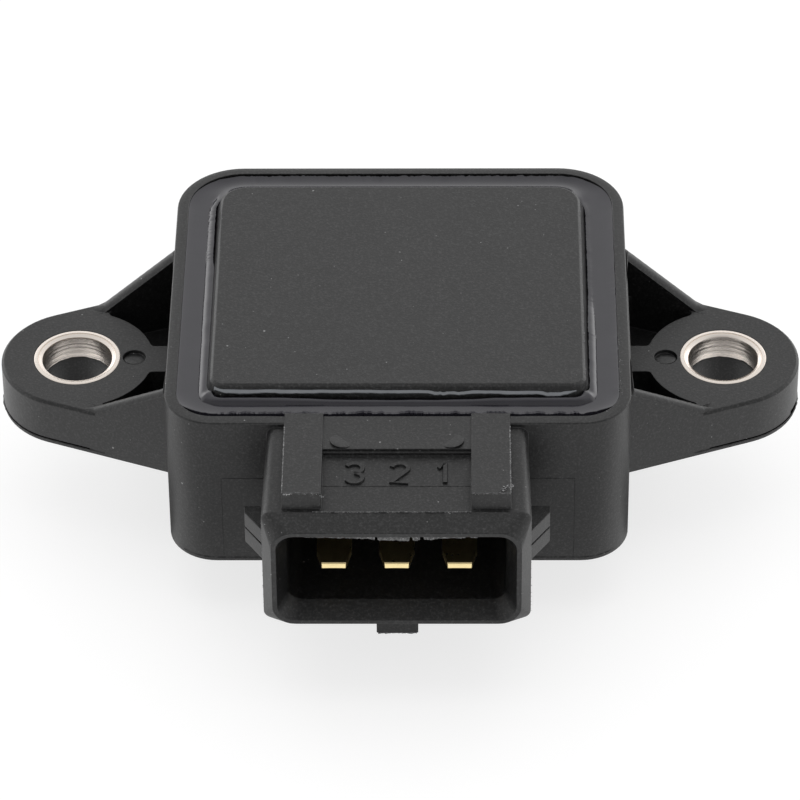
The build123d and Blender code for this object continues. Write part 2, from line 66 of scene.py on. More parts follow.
# %% [markdown]
# The camera stands where the photographer stood: about 40 degrees above the part, far away with a long
# lens, so that parallel edges stay nearly parallel. The lens is found from two known lengths in the
# picture, the distance between the screw holes and the depth of the body. A long lens far away and a short
# lens close up can frame the part alike, but only one of them gives the right taper.

# %% Camera
image_size = 800
focal_length_px = 4978.101
camera_elevation = math.radians(39.021)
camera_yaw = math.radians(0.889)
camera_roll = math.radians(-0.592)
camera_distance = 411.717 * MM
camera_target = Vector((0.064, -5.709, 7.63)) * MM

camera_data = bpy.data.cameras.new("portrait_camera")
camera_data.sensor_fit = "HORIZONTAL"
camera_data.sensor_width = 36.0
camera_data.lens = focal_length_px / image_size * camera_data.sensor_width
camera_data.clip_start = 0.01
camera = bpy.data.objects.new("portrait_camera", camera_data)
turn = Matrix.Rotation(camera_yaw, 3, "Z")
turn = turn @ Matrix.Rotation(math.pi / 2 - camera_elevation, 3, "X")
turn = turn @ Matrix.Rotation(camera_roll, 3, "Z")
camera.matrix_world = Matrix.LocRotScale(camera_target + camera_distance * turn.col[2], turn, None)
bpy.context.scene.collection.objects.link(camera)
bpy.context.scene.camera = camera
bpy.context.scene.view_settings.view_transform = "Standard"
print("lens:", round(camera_data.lens, 2), "mm at", round(camera.location.length, 3), "m")

# %% [markdown]
# Nodes do sums on numbers that change from place to place. A few helpers keep the sums readable: one feeds
# a socket, one does a sum, one maps a range to another, and one takes a vector apart. Dragging the same
# nodes together by hand gives the same result, but it can't be read later.

# %% Sums with nodes


def feed(tree, socket, value):
    """Links another socket to this one, or sets a plain value on it."""
    if isinstance(value, bpy.types.NodeSocket):
        tree.links.new(value, socket)
    else:
        socket.default_value = value


def number(tree, operation, first, second=0.0):
    """One sum on sockets or plain numbers."""
    node = tree.nodes.new("ShaderNodeMath")
    node.operation = operation
    feed(tree, node.inputs[0], first)
    feed(tree, node.inputs[1], second)
    return node.outputs["Value"]


def sum_of_squares(tree, first, second):
    """The square of a distance from its two parts."""
    first_square = number(tree, "MULTIPLY", first, first)
    return number(tree, "ADD", first_square, number(tree, "MULTIPLY", second, second))


def between(tree, value, low, high, start=0.0, end=1.0):
    """A number that runs from low to high while another runs from start to end."""
    node = tree.nodes.new("ShaderNodeMapRange")
    settings = {"Value": value, "From Min": start, "From Max": end, "To Min": low, "To Max": high}
    for label, amount in settings.items():
        feed(tree, node.inputs[label], amount)
    return node.outputs["Result"]


def axes_of(tree, vector):
    """The three parts of a vector."""
    node = tree.nodes.new("ShaderNodeSeparateXYZ")
    tree.links.new(vector, node.inputs["Vector"])
    return node.outputs


def seen_by_eye_or_mirror(tree):
    """A 0 to 1 value that is 1 for rays from the camera, from a reflection or through glass."""
    path = tree.nodes.new("ShaderNodeLightPath").outputs
    either = number(tree, "MAXIMUM", path["Is Camera Ray"], path["Is Glossy Ray"])
    return number(tree, "MAXIMUM", either, path["Is Transmission Ray"])


print("helpers:", feed.__name__, number.__name__, between.__name__, axes_of.__name__)

# %% [markdown]
# A black part shows little of its own colour: what the eye reads is the room that it mirrors. A white tent
# all round is the plainest studio for it. Rays that the camera, a mirror or a glass send out see the tent
# at full white, and the softer light that falls on matte surfaces comes from the same tent at a lower
# level, with one large lamp overhead for a direction. The tent is dimmer at its crown, and dimmer again
# round the opening for the camera, which is why edges that face the camera look dark. Low behind the part,
# to the left and to the right, it is brighter: these two strips draw the light lines along the rim and the
# seal's bead. A set of small lamps would put hot spots on the gloss.

# %% Studio light
tent_level = 0.72
crown_level = 0.64
crown_heights = (0.35, 1.0)
opening_level = 0.4
opening_depths = (-0.6, -0.1)
strip_level = 1.0
strip_sides = (0.25, 0.55)
strip_depths = (0.4, 0.65)
strip_heights = (0.6, 0.3)
lamp_size = 0.7
lamp_place = (0.0, 0.1, 0.6)
lamp_tilt = math.radians(-9.0)
lamp_radiance = 1.0

world = bpy.data.worlds.new("white_tent")
bpy.context.scene.world = world
world.use_nodes = True
tent_tree = world.node_tree
tent = tent_tree.nodes["Background"]
tent.inputs["Color"].default_value = (1.0, 1.0, 1.0, 1.0)
towards = tent_tree.nodes.new("ShaderNodeTexCoord")
across, along, upward = axes_of(tent_tree, towards.outputs["Generated"])
crown = between(tent_tree, upward, 1.0, crown_level, *crown_heights)
opening = between(tent_tree, along, opening_level, 1.0, *opening_depths)
strips = between(tent_tree, number(tent_tree, "ABSOLUTE", across), 0.0, strip_level, *strip_sides)
strips = number(tent_tree, "MULTIPLY", strips, between(tent_tree, along, 0.0, 1.0, *strip_depths))
strips = number(tent_tree, "MULTIPLY", strips, between(tent_tree, upward, 0.0, 1.0, *strip_heights))
mirrored = number(tent_tree, "ADD", number(tent_tree, "MULTIPLY", crown, opening), strips)
level = between(tent_tree, seen_by_eye_or_mirror(tent_tree), tent_level, mirrored)
tent_tree.links.new(level, tent.inputs["Strength"])

lamp_data = bpy.data.lights.new("overhead_softbox", "AREA")
lamp_data.size = lamp_size
lamp_data.energy = lamp_radiance * math.pi * lamp_size ** 2
lamp = bpy.data.objects.new("overhead_softbox", lamp_data)
lamp.location = lamp_place
lamp.rotation_euler = Euler((lamp_tilt, 0.0, 0.0))
lamp.visible_glossy = False
bpy.context.scene.collection.objects.link(lamp)
print("lamp:", round(lamp_data.energy, 2), "W over", lamp_size, "m")

# %% [markdown]
# The floor is a plain sheet under the spigot. It could be a disc or a curved backdrop, but a large square
# is enough: its glow, made in the next step, hides where it ends.

# %% Floor sheet
floor_reach = 6.0


def mesh_piece(name, vertices, faces):
    """A mesh object from vertices in millimetres."""
    mesh = bpy.data.meshes.new(name)
    mesh.from_pydata([Vector(vertex) * MM for vertex in vertices], [], faces)
    mesh.validate()
    mesh.update()
    piece = bpy.data.objects.new(name, mesh)
    bpy.context.scene.collection.objects.link(piece)
    return piece


floor_height = cad_box[0][2] / MM
half_floor = floor_reach / MM / 2
floor_corners = [(-half_floor, -half_floor), (half_floor, -half_floor)]
floor_corners += [(half_floor, half_floor), (-half_floor, half_floor)]
floor = mesh_piece("floor", [(x, y, floor_height) for x, y in floor_corners], [(0, 1, 2, 3)])
print("floor at", round(floor_height, 2), "mm")

# %% [markdown]
# The sheet is painted white. The camera and the reflections see it as a greyer paint with a glow that lifts
# it to the white of the tent, as on a light table, so the sheet has no edge and takes only a soft, pale
# shadow. In reflections the glow is gone below the ears, a painted shadow, and weak along a band in front of
# the part, a painted shade that darkens the front walls. The light that falls on matte surfaces comes from
# the white paint alone. A shadow catcher would hide the floor from reflections.

# %% Floor paint
floor_paint = 0.9
seen_paint = 0.32
floor_glow = 0.73
shaded_band_glow = {-46.0: 1.0, -38.0: 0.35, -28.0: 0.35, -19.0: 1.0}
shade_glow = 0.0
shade_middle = (27.0, -4.0)
shade_half = (6.5, 6.2)
shade_fade = (0.95, 1.08)


def offset_share(tree, value, middle_mm, half_mm):
    """How far a place lies from a middle, as a share of a half width."""
    return number(tree, "DIVIDE", number(tree, "SUBTRACT", value, middle_mm * MM), half_mm * MM)


floor_material = bpy.data.materials.new("floor_paint")
floor_material.use_nodes = True
floor_tree = floor_material.node_tree
floor_shader = floor_tree.nodes["Principled BSDF"]
floor_shader.inputs["Roughness"].default_value = 0.9
floor_shader.inputs["Specular IOR Level"].default_value = 0.0
floor_shader.inputs["Emission Color"].default_value = (1.0, 1.0, 1.0, 1.0)
floor_place = floor_tree.nodes.new("ShaderNodeNewGeometry")
floor_x, floor_y, _ = axes_of(floor_tree, floor_place.outputs["Position"])

# Painted shade: in reflections the floor's glow drops along a band in front of the part, which darkens the
# front walls.
shaded_band_front = min(shaded_band_glow) * MM
shaded_band_back = max(shaded_band_glow) * MM
shaded_band = floor_tree.nodes.new("ShaderNodeValToRGB")
while len(shaded_band.color_ramp.elements) < len(shaded_band_glow):
    shaded_band.color_ramp.elements.new(0.5)
for stop, (place, share) in zip(shaded_band.color_ramp.elements, sorted(shaded_band_glow.items())):
    stop.position = (place * MM - shaded_band_front) / (shaded_band_back - shaded_band_front)
    stop.color = (share, share, share, 1.0)
floor_tree.links.new(between(floor_tree, floor_y, 0.0, 1.0, shaded_band_front, shaded_band_back), shaded_band.inputs["Fac"])

# Painted shadow: in reflections the floor has no glow below the ears, which darkens the bores and undersides.
from_ear = offset_share(floor_tree, number(floor_tree, "ABSOLUTE", floor_x), shade_middle[0], shade_half[0])
from_axis = offset_share(floor_tree, floor_y, shade_middle[1], shade_half[1])
ear_distance = sum_of_squares(floor_tree, from_ear, from_axis)
ear_shade = between(floor_tree, ear_distance, shade_glow, 1.0, *shade_fade)
in_mirrors = number(floor_tree, "MULTIPLY", shaded_band.outputs["Color"], ear_shade)
camera_ray = floor_tree.nodes.new("ShaderNodeLightPath").outputs["Is Camera Ray"]
floor_seen = seen_by_eye_or_mirror(floor_tree)
shown = number(floor_tree, "MULTIPLY", number(floor_tree, "MAXIMUM", camera_ray, in_mirrors), floor_seen)
glow = number(floor_tree, "MULTIPLY", shown, floor_glow)
paint = between(floor_tree, floor_seen, floor_paint, seen_paint)
floor_tree.links.new(paint, floor_shader.inputs["Base Color"])
floor_tree.links.new(glow, floor_shader.inputs["Emission Strength"])
floor.data.materials.append(floor_material)
print("floor paint:", floor_paint, "for light,", seen_paint, "plus a glow of", floor_glow, "for the eye")

# %% [markdown]
# Several finishes share the same small effects, so each effect is built once as a shader group: the fine
# grain of a moulded skin, the pale dust that settles on it, slow patches from handling, and the rings that
# a turning tool leaves. A group gives out only numbers. Each material decides what they do to its colour,
# its roughness or its bumps, and with what strength. Copying the nodes into every material would work as
# well, but then a change of grain has to be made many times.

# %% Shared effects
coarse_scale = 0.22
coarse_weight = 0.6
tone_from = 0.4
tone_gain = 3.2
smallest_speck = 0.4


def new_effect(name, inputs, outputs):
    """An empty shader group with number inputs and number outputs, and its two end nodes."""
    group = bpy.data.node_groups.new(name, "ShaderNodeTree")
    for label, value in inputs.items():
        socket = group.interface.new_socket(label, in_out="INPUT", socket_type="NodeSocketFloat")
        socket.default_value = value
    for label in outputs:
        group.interface.new_socket(label, in_out="OUTPUT", socket_type="NodeSocketFloat")
    return group, group.nodes.new("NodeGroupInput").outputs, group.nodes.new("NodeGroupOutput").inputs


def place_in_mm(tree):
    """The place on the part in millimetres, the same in every piece because all share one frame."""
    place = tree.nodes.new("ShaderNodeTexCoord")
    scale = tree.nodes.new("ShaderNodeVectorMath")
    scale.operation = "SCALE"
    scale.inputs["Scale"].default_value = 1 / MM
    tree.links.new(place.outputs["Object"], scale.inputs[0])
    return scale.outputs["Vector"]


def lumps(tree, place, per_mm, detail=2.0, roughness=0.5):
    """Soft noise with so many lumps to a millimetre."""
    node = tree.nodes.new("ShaderNodeTexNoise")
    node.inputs["Detail"].default_value = detail
    node.inputs["Roughness"].default_value = roughness
    tree.links.new(place, node.inputs["Vector"])
    feed(tree, node.inputs["Scale"], per_mm)
    return node.outputs["Fac"]


grain, grain_in, grain_out = new_effect("moulded_grain", {"Lumps per mm": 4.0}, ["Height", "Tone"])
grain_place = place_in_mm(grain)
fine_grain = lumps(grain, grain_place, grain_in["Lumps per mm"], detail=3.0, roughness=0.7)
coarse_grain = lumps(grain, grain_place, number(grain, "MULTIPLY", grain_in["Lumps per mm"], coarse_scale))
coarse_grain = number(grain, "MULTIPLY", coarse_grain, coarse_weight)
grain.links.new(number(grain, "ADD", fine_grain, coarse_grain), grain_out["Height"])
peaks = number(grain, "MAXIMUM", number(grain, "SUBTRACT", fine_grain, tone_from), 0.0)
peaks = number(grain, "MULTIPLY", peaks, tone_gain)
grain.links.new(number(grain, "POWER", peaks, 2.0), grain_out["Tone"])

dust_inputs = {"Spacing mm": 1.6, "Radius mm": 0.07, "Share": 0.5}
dust, dust_in, dust_out = new_effect("dust_specks", dust_inputs, ["Mask"])
cells = dust.nodes.new("ShaderNodeTexVoronoi")
dust.links.new(place_in_mm(dust), cells.inputs["Vector"])
dust.links.new(number(dust, "DIVIDE", 1.0, dust_in["Spacing mm"]), cells.inputs["Scale"])
lot = dust.nodes.new("ShaderNodeSeparateColor")
dust.links.new(cells.outputs["Color"], lot.inputs["Color"])
from_speck = number(dust, "MULTIPLY", cells.outputs["Distance"], dust_in["Spacing mm"])
speck_size = number(dust, "ADD", lot.outputs["Green"], smallest_speck)
speck_size = number(dust, "MULTIPLY", dust_in["Radius mm"], speck_size)
on_speck = number(dust, "LESS_THAN", from_speck, speck_size)
chosen = number(dust, "LESS_THAN", lot.outputs["Red"], dust_in["Share"])
dust.links.new(number(dust, "MULTIPLY", on_speck, chosen), dust_out["Mask"])

patches, patches_in, patches_out = new_effect("handling_patches", {"Lumps per mm": 0.12}, ["Value"])
slow_patches = lumps(patches, place_in_mm(patches), patches_in["Lumps per mm"], detail=4.0, roughness=0.6)
patches.links.new(slow_patches, patches_out["Value"])

rings_inputs = {"Pitch mm": 0.09, "Axis distance mm": 27.0}
rings, rings_in, rings_out = new_effect("turning_rings", rings_inputs, ["Height"])
ring_x, ring_y, ring_z = axes_of(rings, place_in_mm(rings))
off_axis = number(rings, "SUBTRACT", number(rings, "ABSOLUTE", ring_x), rings_in["Axis distance mm"])
ring_radius = number(rings, "SQRT", sum_of_squares(rings, off_axis, ring_y))
along_cut = number(rings, "SUBTRACT", ring_radius, ring_z)
cut_place = rings.nodes.new("ShaderNodeCombineXYZ")
rings.links.new(number(rings, "DIVIDE", along_cut, rings_in["Pitch mm"]), cut_place.inputs["X"])
cut_marks = lumps(rings, cut_place.outputs["Vector"], 1.0, detail=3.0, roughness=0.7)
rings.links.new(cut_marks, rings_out["Height"])
print("effects:", [group.name for group in bpy.data.node_groups])

# %% [markdown]
# Every finish below is one Principled shader. What is the same all over, such as how strongly the skin
# mirrors at a glance, is set on the shader itself. What varies comes from the shared effects. Separate
# shaders mixed together could do the same, but one shader keeps its energy right by itself.

# %% Material helpers


def finish(name, colour, roughness, metallic=0.0, ior=1.5):
    """A new material with one Principled shader and the values that are the same all over."""
    material = bpy.data.materials.new(name)
    material.use_nodes = True
    shader = material.node_tree.nodes["Principled BSDF"]
    shader.inputs["Base Color"].default_value = (*colour, 1.0)
    shader.inputs["Roughness"].default_value = roughness
    shader.inputs["Metallic"].default_value = metallic
    shader.inputs["IOR"].default_value = ior
    return material, material.node_tree, shader


def effect(tree, group, **values):
    """Places a shared effect in a material, with its own values for the named inputs."""
    node = tree.nodes.new("ShaderNodeGroup")
    node.node_tree = group
    for label, value in values.items():
        node.inputs[label.replace("_", " ")].default_value = value
    return node.outputs


def mixed_colour(tree, value, first, second):
    """A colour between two, or between a colour and what another socket gives."""
    node = tree.nodes.new("ShaderNodeMix")
    node.data_type = "RGBA"
    tree.links.new(value, node.inputs["Factor"])
    for label, colour in (("A", first), ("B", second)):
        socket = next(s for s in node.inputs if s.name == label and s.type == "RGBA")
        feed(tree, socket, (*colour, 1.0) if isinstance(colour, tuple) else colour)
    return next(s for s in node.outputs if s.type == "RGBA")


def bump(tree, shader, height, depth_mm):
    """Bumps of a given depth on the shader's normal."""
    node = tree.nodes.new("ShaderNodeBump")
    node.inputs["Distance"].default_value = depth_mm * MM
    tree.links.new(height, node.inputs["Height"])
    tree.links.new(node.outputs["Normal"], shader.inputs["Normal"])


print("helpers:", finish.__name__, effect.__name__, mixed_colour.__name__, bump.__name__)

# %% [markdown]
# The housing is glass-filled nylon, nearly black and matte, with a fine grain from the mould and the ends
# of the glass fibres just under the skin. A few pale specks of dust lie on it. The cover is the same
# plastic from a smoother mould, and the rotor a plainer one. One function makes all three, because only a
# few of their values differ.

# %% Plastics
black = (0.003, 0.003, 0.0031)
fibre_grey = (0.038, 0.038, 0.0385)
rotor_black = (0.008, 0.008, 0.009)
rotor_grey = (0.02, 0.02, 0.021)
dust_grey = (0.2, 0.2, 0.2)
fine_dust_grey = (0.12, 0.12, 0.12)
polish_spread = 0.08


def moulded_plastic(name, dark, light, roughness, grain_depth, grain_lumps, dust_share):
    """Grainy moulded plastic with specks of dust."""
    material, tree, shader = finish(name, dark, roughness, ior=1.6)
    skin_grain = effect(tree, grain, Lumps_per_mm=grain_lumps)
    specks = effect(tree, dust, Share=dust_share)
    fine_specks = effect(tree, dust, Spacing_mm=0.6, Radius_mm=0.05, Share=dust_share / 3)
    worn = effect(tree, patches)["Value"]
    colour = mixed_colour(tree, skin_grain["Tone"], dark, light)
    colour = mixed_colour(tree, fine_specks["Mask"], colour, fine_dust_grey)
    colour = mixed_colour(tree, specks["Mask"], colour, dust_grey)
    tree.links.new(colour, shader.inputs["Base Color"])
    polish = between(tree, worn, roughness - polish_spread, roughness + polish_spread)
    tree.links.new(polish, shader.inputs["Roughness"])
    bump(tree, shader, skin_grain["Height"], grain_depth)
    return material


housing_plastic = moulded_plastic("housing_plastic", black, fibre_grey, 0.42, 0.016, 5.0, 0.35)
cover_plastic = moulded_plastic("cover_plastic", black, fibre_grey, 0.4, 0.016, 5.0, 0.45)
rotor_plastic = moulded_plastic("rotor_plastic", rotor_black, rotor_grey, 0.42, 0.006, 6.0, 0.15)
print("plastics:", housing_plastic.name, cover_plastic.name, rotor_plastic.name)

# %% [markdown]
# The seal was poured as a liquid resin and set with a gloss, a little purple beside the plastic. The ledge
# it left along the front is given a pale colour, a painted highlight for the bright reflection along it. A
# clear coat over a dark base would mirror the same way, but the resin is one material all through, so a
# higher index of refraction is the truer way.

# %% Sealing resin
resin_dark = (0.012, 0.0115, 0.016)
resin_light = (0.026, 0.0245, 0.032)
ledge_highlight_dark = (0.1, 0.106, 0.115)
ledge_highlight_light = (0.19, 0.2, 0.214)
resin_polish = (0.08, 0.2)

sealing_resin, resin_tree, resin_shader = finish("sealing_resin", resin_light, 0.12, ior=1.68)
resin_patches = effect(resin_tree, patches, Lumps_per_mm=0.35)["Value"]
resin_dust = effect(resin_tree, dust, Share=0.4)["Mask"]
resin_tone = mixed_colour(resin_tree, resin_patches, resin_dark, resin_light)
resin_colour = mixed_colour(resin_tree, resin_dust, resin_tone, dust_grey)
resin_tree.links.new(resin_colour, resin_shader.inputs["Base Color"])
resin_tree.links.new(between(resin_tree, resin_patches, *resin_polish), resin_shader.inputs["Roughness"])

# Painted highlight: the pale colour stands for the bright reflection along the resin ledge at the front.
ledge_resin_highlight, ledge_highlight_tree, ledge_highlight_shader = finish("ledge_resin_highlight", ledge_highlight_dark, 0.3)
ledge_highlight_patches = effect(ledge_highlight_tree, patches, Lumps_per_mm=0.8)["Value"]
ledge_highlight_tone = mixed_colour(ledge_highlight_tree, ledge_highlight_patches, ledge_highlight_dark, ledge_highlight_light)
ledge_highlight_tree.links.new(ledge_highlight_tone, ledge_highlight_shader.inputs["Base Color"])
print("resins:", sealing_resin.name, ledge_resin_highlight.name)

# %% [markdown]
# Metals take their colour from their reflection. The bushings are turned steel under nickel, so they carry
# fine rings; the blades are gold over a copper alloy; spring steel, solder and the printed silver are
# plainer. Each could have its own nodes, but only the colour and the polish differ.

# %% Metals


def metal(name, colour, roughness):
    """A metal whose polish varies a little."""
    material, tree, shader = finish(name, colour, roughness, metallic=1.0)
    worn = effect(tree, patches, Lumps_per_mm=1.2)["Value"]
    polish = between(tree, worn, roughness - polish_spread, roughness + polish_spread)
    tree.links.new(polish, shader.inputs["Roughness"])
    return material, tree, shader


plated_steel, plated_tree, plated_shader = metal("plated_steel", (0.93, 0.85, 0.775), 0.24)
bump(plated_tree, plated_shader, effect(plated_tree, rings)["Height"], 0.02)
gold_contact, gold_tree, gold_shader = metal("gold_contact", (1.0, 0.82, 0.44), 0.3)
bump(gold_tree, gold_shader, effect(gold_tree, grain, Lumps_per_mm=5.0)["Height"], 0.006)
spring_steel = metal("spring_steel", (0.62, 0.61, 0.6), 0.3)[0]
solder = metal("solder", (0.7, 0.7, 0.71), 0.32)[0]
silver_film = metal("silver_film", (0.72, 0.7, 0.66), 0.45)[0]
print("metals:", plated_steel.name, gold_contact.name, spring_steel.name, solder.name, silver_film.name)

# %% [markdown]
# The pieces inside are seldom seen, but each still has its own finish: a ceramic board, a carbon film, and
# a rubber ring. A flat colour would pass at this size, but two close tones and a fine bump cost little.
# With these the list is complete, and each solid gets the finish that its record names.

# %% Board, carbon and rubber


def speckled(name, first, second, roughness, grain_lumps, depth):
    """A matte material with two close tones."""
    material, tree, shader = finish(name, first, roughness)
    skin_grain = effect(tree, grain, Lumps_per_mm=grain_lumps)
    tree.links.new(mixed_colour(tree, skin_grain["Tone"], first, second), shader.inputs["Base Color"])
    bump(tree, shader, skin_grain["Height"], depth)
    return material


board = speckled("board", (0.62, 0.6, 0.55), (0.72, 0.7, 0.66), 0.6, 3.0, 0.004)
carbon_film = speckled("carbon_film", (0.012, 0.012, 0.012), (0.025, 0.025, 0.025), 0.55, 8.0, 0.003)
seal_rubber = speckled("seal_rubber", (0.012, 0.012, 0.012), (0.02, 0.02, 0.02), 0.6, 2.0, 0.006)
slot_materials = {
    "housing_plastic": housing_plastic, "cover_plastic": cover_plastic, "sealing_resin": sealing_resin,
    "plated_steel": plated_steel, "gold_contact": gold_contact, "board": board, "carbon_film": carbon_film,
    "silver_film": silver_film, "solder": solder, "seal_rubber": seal_rubber,
    "rotor_plastic": rotor_plastic, "spring_steel": spring_steel,
}
node_slots = {subpart["node"]: subpart["material_slot"] for subpart in frame["record"]["subparts"]}
for name, node in nodes.items():
    node.data.materials.clear()
    node.data.materials.append(slot_materials[node_slots[name]])
print("dressed:", len(node_slots), "nodes with", len(slot_materials), "materials")

# %% [markdown]
# No moulded edge is a knife edge. The solids carry their larger chamfers, and here a narrow bevel rounds
# what is left, so that each edge catches a thin line of light. The mesh itself is left alone: modifiers
# weld it, drop the flat triangles' inner edges and round the rest. A sculpted or remeshed copy would be
# heavier and would no longer follow the solid.

# %% Soft edges
edge_round = {"housing": 0.06, "cover": 0.06, "left_bushing": 0.05, "right_bushing": 0.05, "rotor": 0.1}
plain_round = 0.04
bevel_from = math.radians(20.0)

fresh = bpy.data.node_groups.new("fresh_normals", "GeometryNodeTree")
fresh.interface.new_socket("Geometry", in_out="INPUT", socket_type="NodeSocketGeometry")
fresh.interface.new_socket("Geometry", in_out="OUTPUT", socket_type="NodeSocketGeometry")
fresh_in = fresh.nodes.new("NodeGroupInput")
fresh_out = fresh.nodes.new("NodeGroupOutput")
forget = fresh.nodes.new("GeometryNodeRemoveAttribute")
forget.inputs["Name"].default_value = "custom_normal"
smooth = fresh.nodes.new("GeometryNodeSetShadeSmooth")
fresh.links.new(fresh_in.outputs[0], forget.inputs["Geometry"])
fresh.links.new(forget.outputs["Geometry"], smooth.inputs["Geometry"])
fresh.links.new(smooth.outputs["Geometry"], fresh_out.inputs[0])


def soften_edges(piece, width_mm):
    """Rounds the sharp edges of a piece with modifiers and shades it smoothly."""
    piece.modifiers.new("fresh_normals", "NODES").node_group = fresh
    weld = piece.modifiers.new("weld", "WELD")
    weld.merge_threshold = 0.002 * MM
    flat = piece.modifiers.new("flat", "DECIMATE")
    flat.decimate_type = "DISSOLVE"
    flat.angle_limit = math.radians(1.0)
    bevel = piece.modifiers.new("edge_round", "BEVEL")
    bevel.width = width_mm * MM
    bevel.segments = 3
    bevel.limit_method = "ANGLE"
    bevel.angle_limit = bevel_from
    bevel.use_clamp_overlap = False
    shading = piece.modifiers.new("face_normals", "WEIGHTED_NORMAL")
    shading.keep_sharp = False


for name, node in nodes.items():
    soften_edges(node, edge_round.get(name, plain_round))
print("softened:", len(nodes), "nodes")

# %% [markdown]
# The small marks of moulding sit on the skin of the solids, so the lesson needs to find that skin. A search
# tree over the housing's triangles answers where a ray meets it and which way the surface faces there.
# Typing in the heights by hand would break as soon as a size changes.

# %% Finding the skin
housing = nodes["housing"]
ray_height = 30.0


def corners_of(node):
    """The corners of a solid's mesh in millimetres."""
    return [node.matrix_world @ vertex.co / MM for vertex in node.data.vertices]


skin = BVHTree.FromPolygons(corners_of(housing), [tuple(face.vertices) for face in housing.data.polygons])


def on_skin(start, direction):
    """The place where a ray meets the housing and the way its surface faces, or None twice."""
    return skin.ray_cast(Vector(start), Vector(direction))[:2]


def from_above(x, y):
    """The place where a ray straight down meets the housing, and the way its surface faces."""
    return on_skin((x, y, ray_height), (0.0, 0.0, -1.0))


print("skin of the socket's top at", round(from_above(0.0, -22.0)[0].z, 2), "mm")

# %% [markdown]
# The added pieces are skins over rows of outlines, as a boat's planks lie over its frames. One helper
# closes such a skin, one joins several into a piece, and one dresses the piece and fixes it to the housing.
# Modelling by hand in the viewport would work too, but it can't be repeated when a size changes.

# %% Making pieces
sharp_from = math.radians(35.0)


def tube(slices):
    """Points and faces of a closed skin over slices with equal numbers of points."""
    count = len(slices[0])
    points = [point for outline in slices for point in outline]
    faces = [tuple(reversed(range(count))), tuple(range(len(points) - count, len(points)))]
    for here in range(0, len(points) - count, count):
        for row in range(count):
            after = (row + 1) % count
            faces.append((here + row, here + after, here + count + after, here + count + row))
    return points, faces


def joined(parts):
    """One list of points and faces from several."""
    points = []
    faces = []
    for more_points, more_faces in parts:
        shift = len(points)
        points += more_points
        faces += [tuple(corner + shift for corner in face) for face in more_faces]
    return points, faces


def ride_with(piece, slot_material, slot_name):
    """Dresses an added piece and fixes it to the housing."""
    piece.data.materials.append(slot_material)
    piece.data.polygons.foreach_set("use_smooth", [True] * len(piece.data.polygons))
    piece.data.set_sharp_from_angle(angle=sharp_from)
    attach(piece, "housing")
    print(piece.name, "triangles:", sum(len(polygon.vertices) - 2 for polygon in piece.data.polygons))


print("helpers:", tube.__name__, joined.__name__, ride_with.__name__)

# %% [markdown]
# The walls that brace each ear have round crowns on the real part, soft enough that one long edge catches
# the light and the other falls into shade. Each crown is a low arch laid on the wall's sloped top: rays
# from above find how wide the top is, slice by slice, and beyond the wall's foot the arch runs out on the
# ear. A wide bevel on the solid would fold over itself where the wall runs out into the ear.

# %% Gusset crowns
crown_rise = 0.24
crown_sink = 0.02
crown_slices = 48
crown_rows = 9
crown_reach = (19.0, 25.0)
crown_root = 0.5
crown_end = 1.3
crown_end_slices = 10
crown_end_lie = (0.015, -0.02)
ear_edge = 0.26
search_start = 5.0
search_pitch = 0.04
search_rays = 200
top_rises = (0.78, 0.9)
top_twist = 0.05
fewest_hits = 5


def arch(share):
    """A parabola over a width, 0 at both edges and 1 in the middle."""
    return 4.0 * share * (1.0 - share)


def is_wall_top(facing):
    """Tells a wall's sloped top from the faces round it by the way it faces."""
    return top_rises[0] < facing.z < top_rises[1] and abs(facing.y) < top_twist


ear_level = from_above(25.0, 5.0)[0].z
crown_shares = [row / (crown_rows - 1) for row in range(crown_rows)]
crown_parts = []
for side, along in ((-1, -1), (-1, 1), (1, -1), (1, 1)):
    slices = []
    edges = []
    for step in range(crown_slices + 1):
        x = side * (crown_reach[0] + (crown_reach[1] - crown_reach[0]) * step / crown_slices)
        hits = [from_above(x, along * (search_start + search_pitch * ray)) for ray in range(search_rays)]
        tops = [(place, facing) for place, facing in hits if place is not None and is_wall_top(facing)]
        if len(tops) >= fewest_hits:
            first, facing = tops[0]
            last = tops[-1][0]
            edges.append((first, last))
            lifts = [facing * (crown_rise * arch(share) - crown_sink) for share in crown_shares]
            slices.append([first.lerp(last, share) + lift for share, lift in zip(crown_shares, lifts)])
    fall = (slices[0][0] - slices[1][0]).normalized()
    slices.insert(0, [point + fall * crown_root for point in slices[0]])
    drift = [(ended - begun) / abs(ended.x - begun.x) for begun, ended in zip(edges[0], edges[-1])]
    for step in range(1, crown_end_slices + 1):
        gone = step / crown_end_slices
        first, last = (edge + way * crown_end * gone for edge, way in zip(edges[-1], drift))
        last -= Vector((0.0, along * ear_edge * min(2.0 * gone, 1.0), 0.0))
        lie = ear_level + crown_end_lie[0] + (crown_end_lie[1] - crown_end_lie[0]) * gone
        heights = [lie + crown_rise * arch(share) * (1.0 - gone) ** 2 for share in crown_shares]
        spots = [first.lerp(last, share).xy for share in crown_shares]
        slices.append([Vector((*spot, height)) for spot, height in zip(spots, heights)])
    crown_parts.append(tube(slices))
gusset_crowns = mesh_piece("gusset_crowns", *joined(crown_parts))
ride_with(gusset_crowns, housing_plastic, "housing_plastic")

# %% [markdown]
# The seal fills a moat between the cover's wall and the housing's rim. Both are rectangles whose front
# corners are tighter than the rear ones, and two loops of points follow them. Reading the loops from the
# solids' edges would work too, but the seal needs many more points than those edges have.

# %% Moat loops
wall_half = (15.52, 13.825)
wall_corners = (1.5, 2.6)
rim_half = (17.88, 16.28)
rim_corners = (3.05, 4.55)
straight_steps = 320
corner_steps = 16


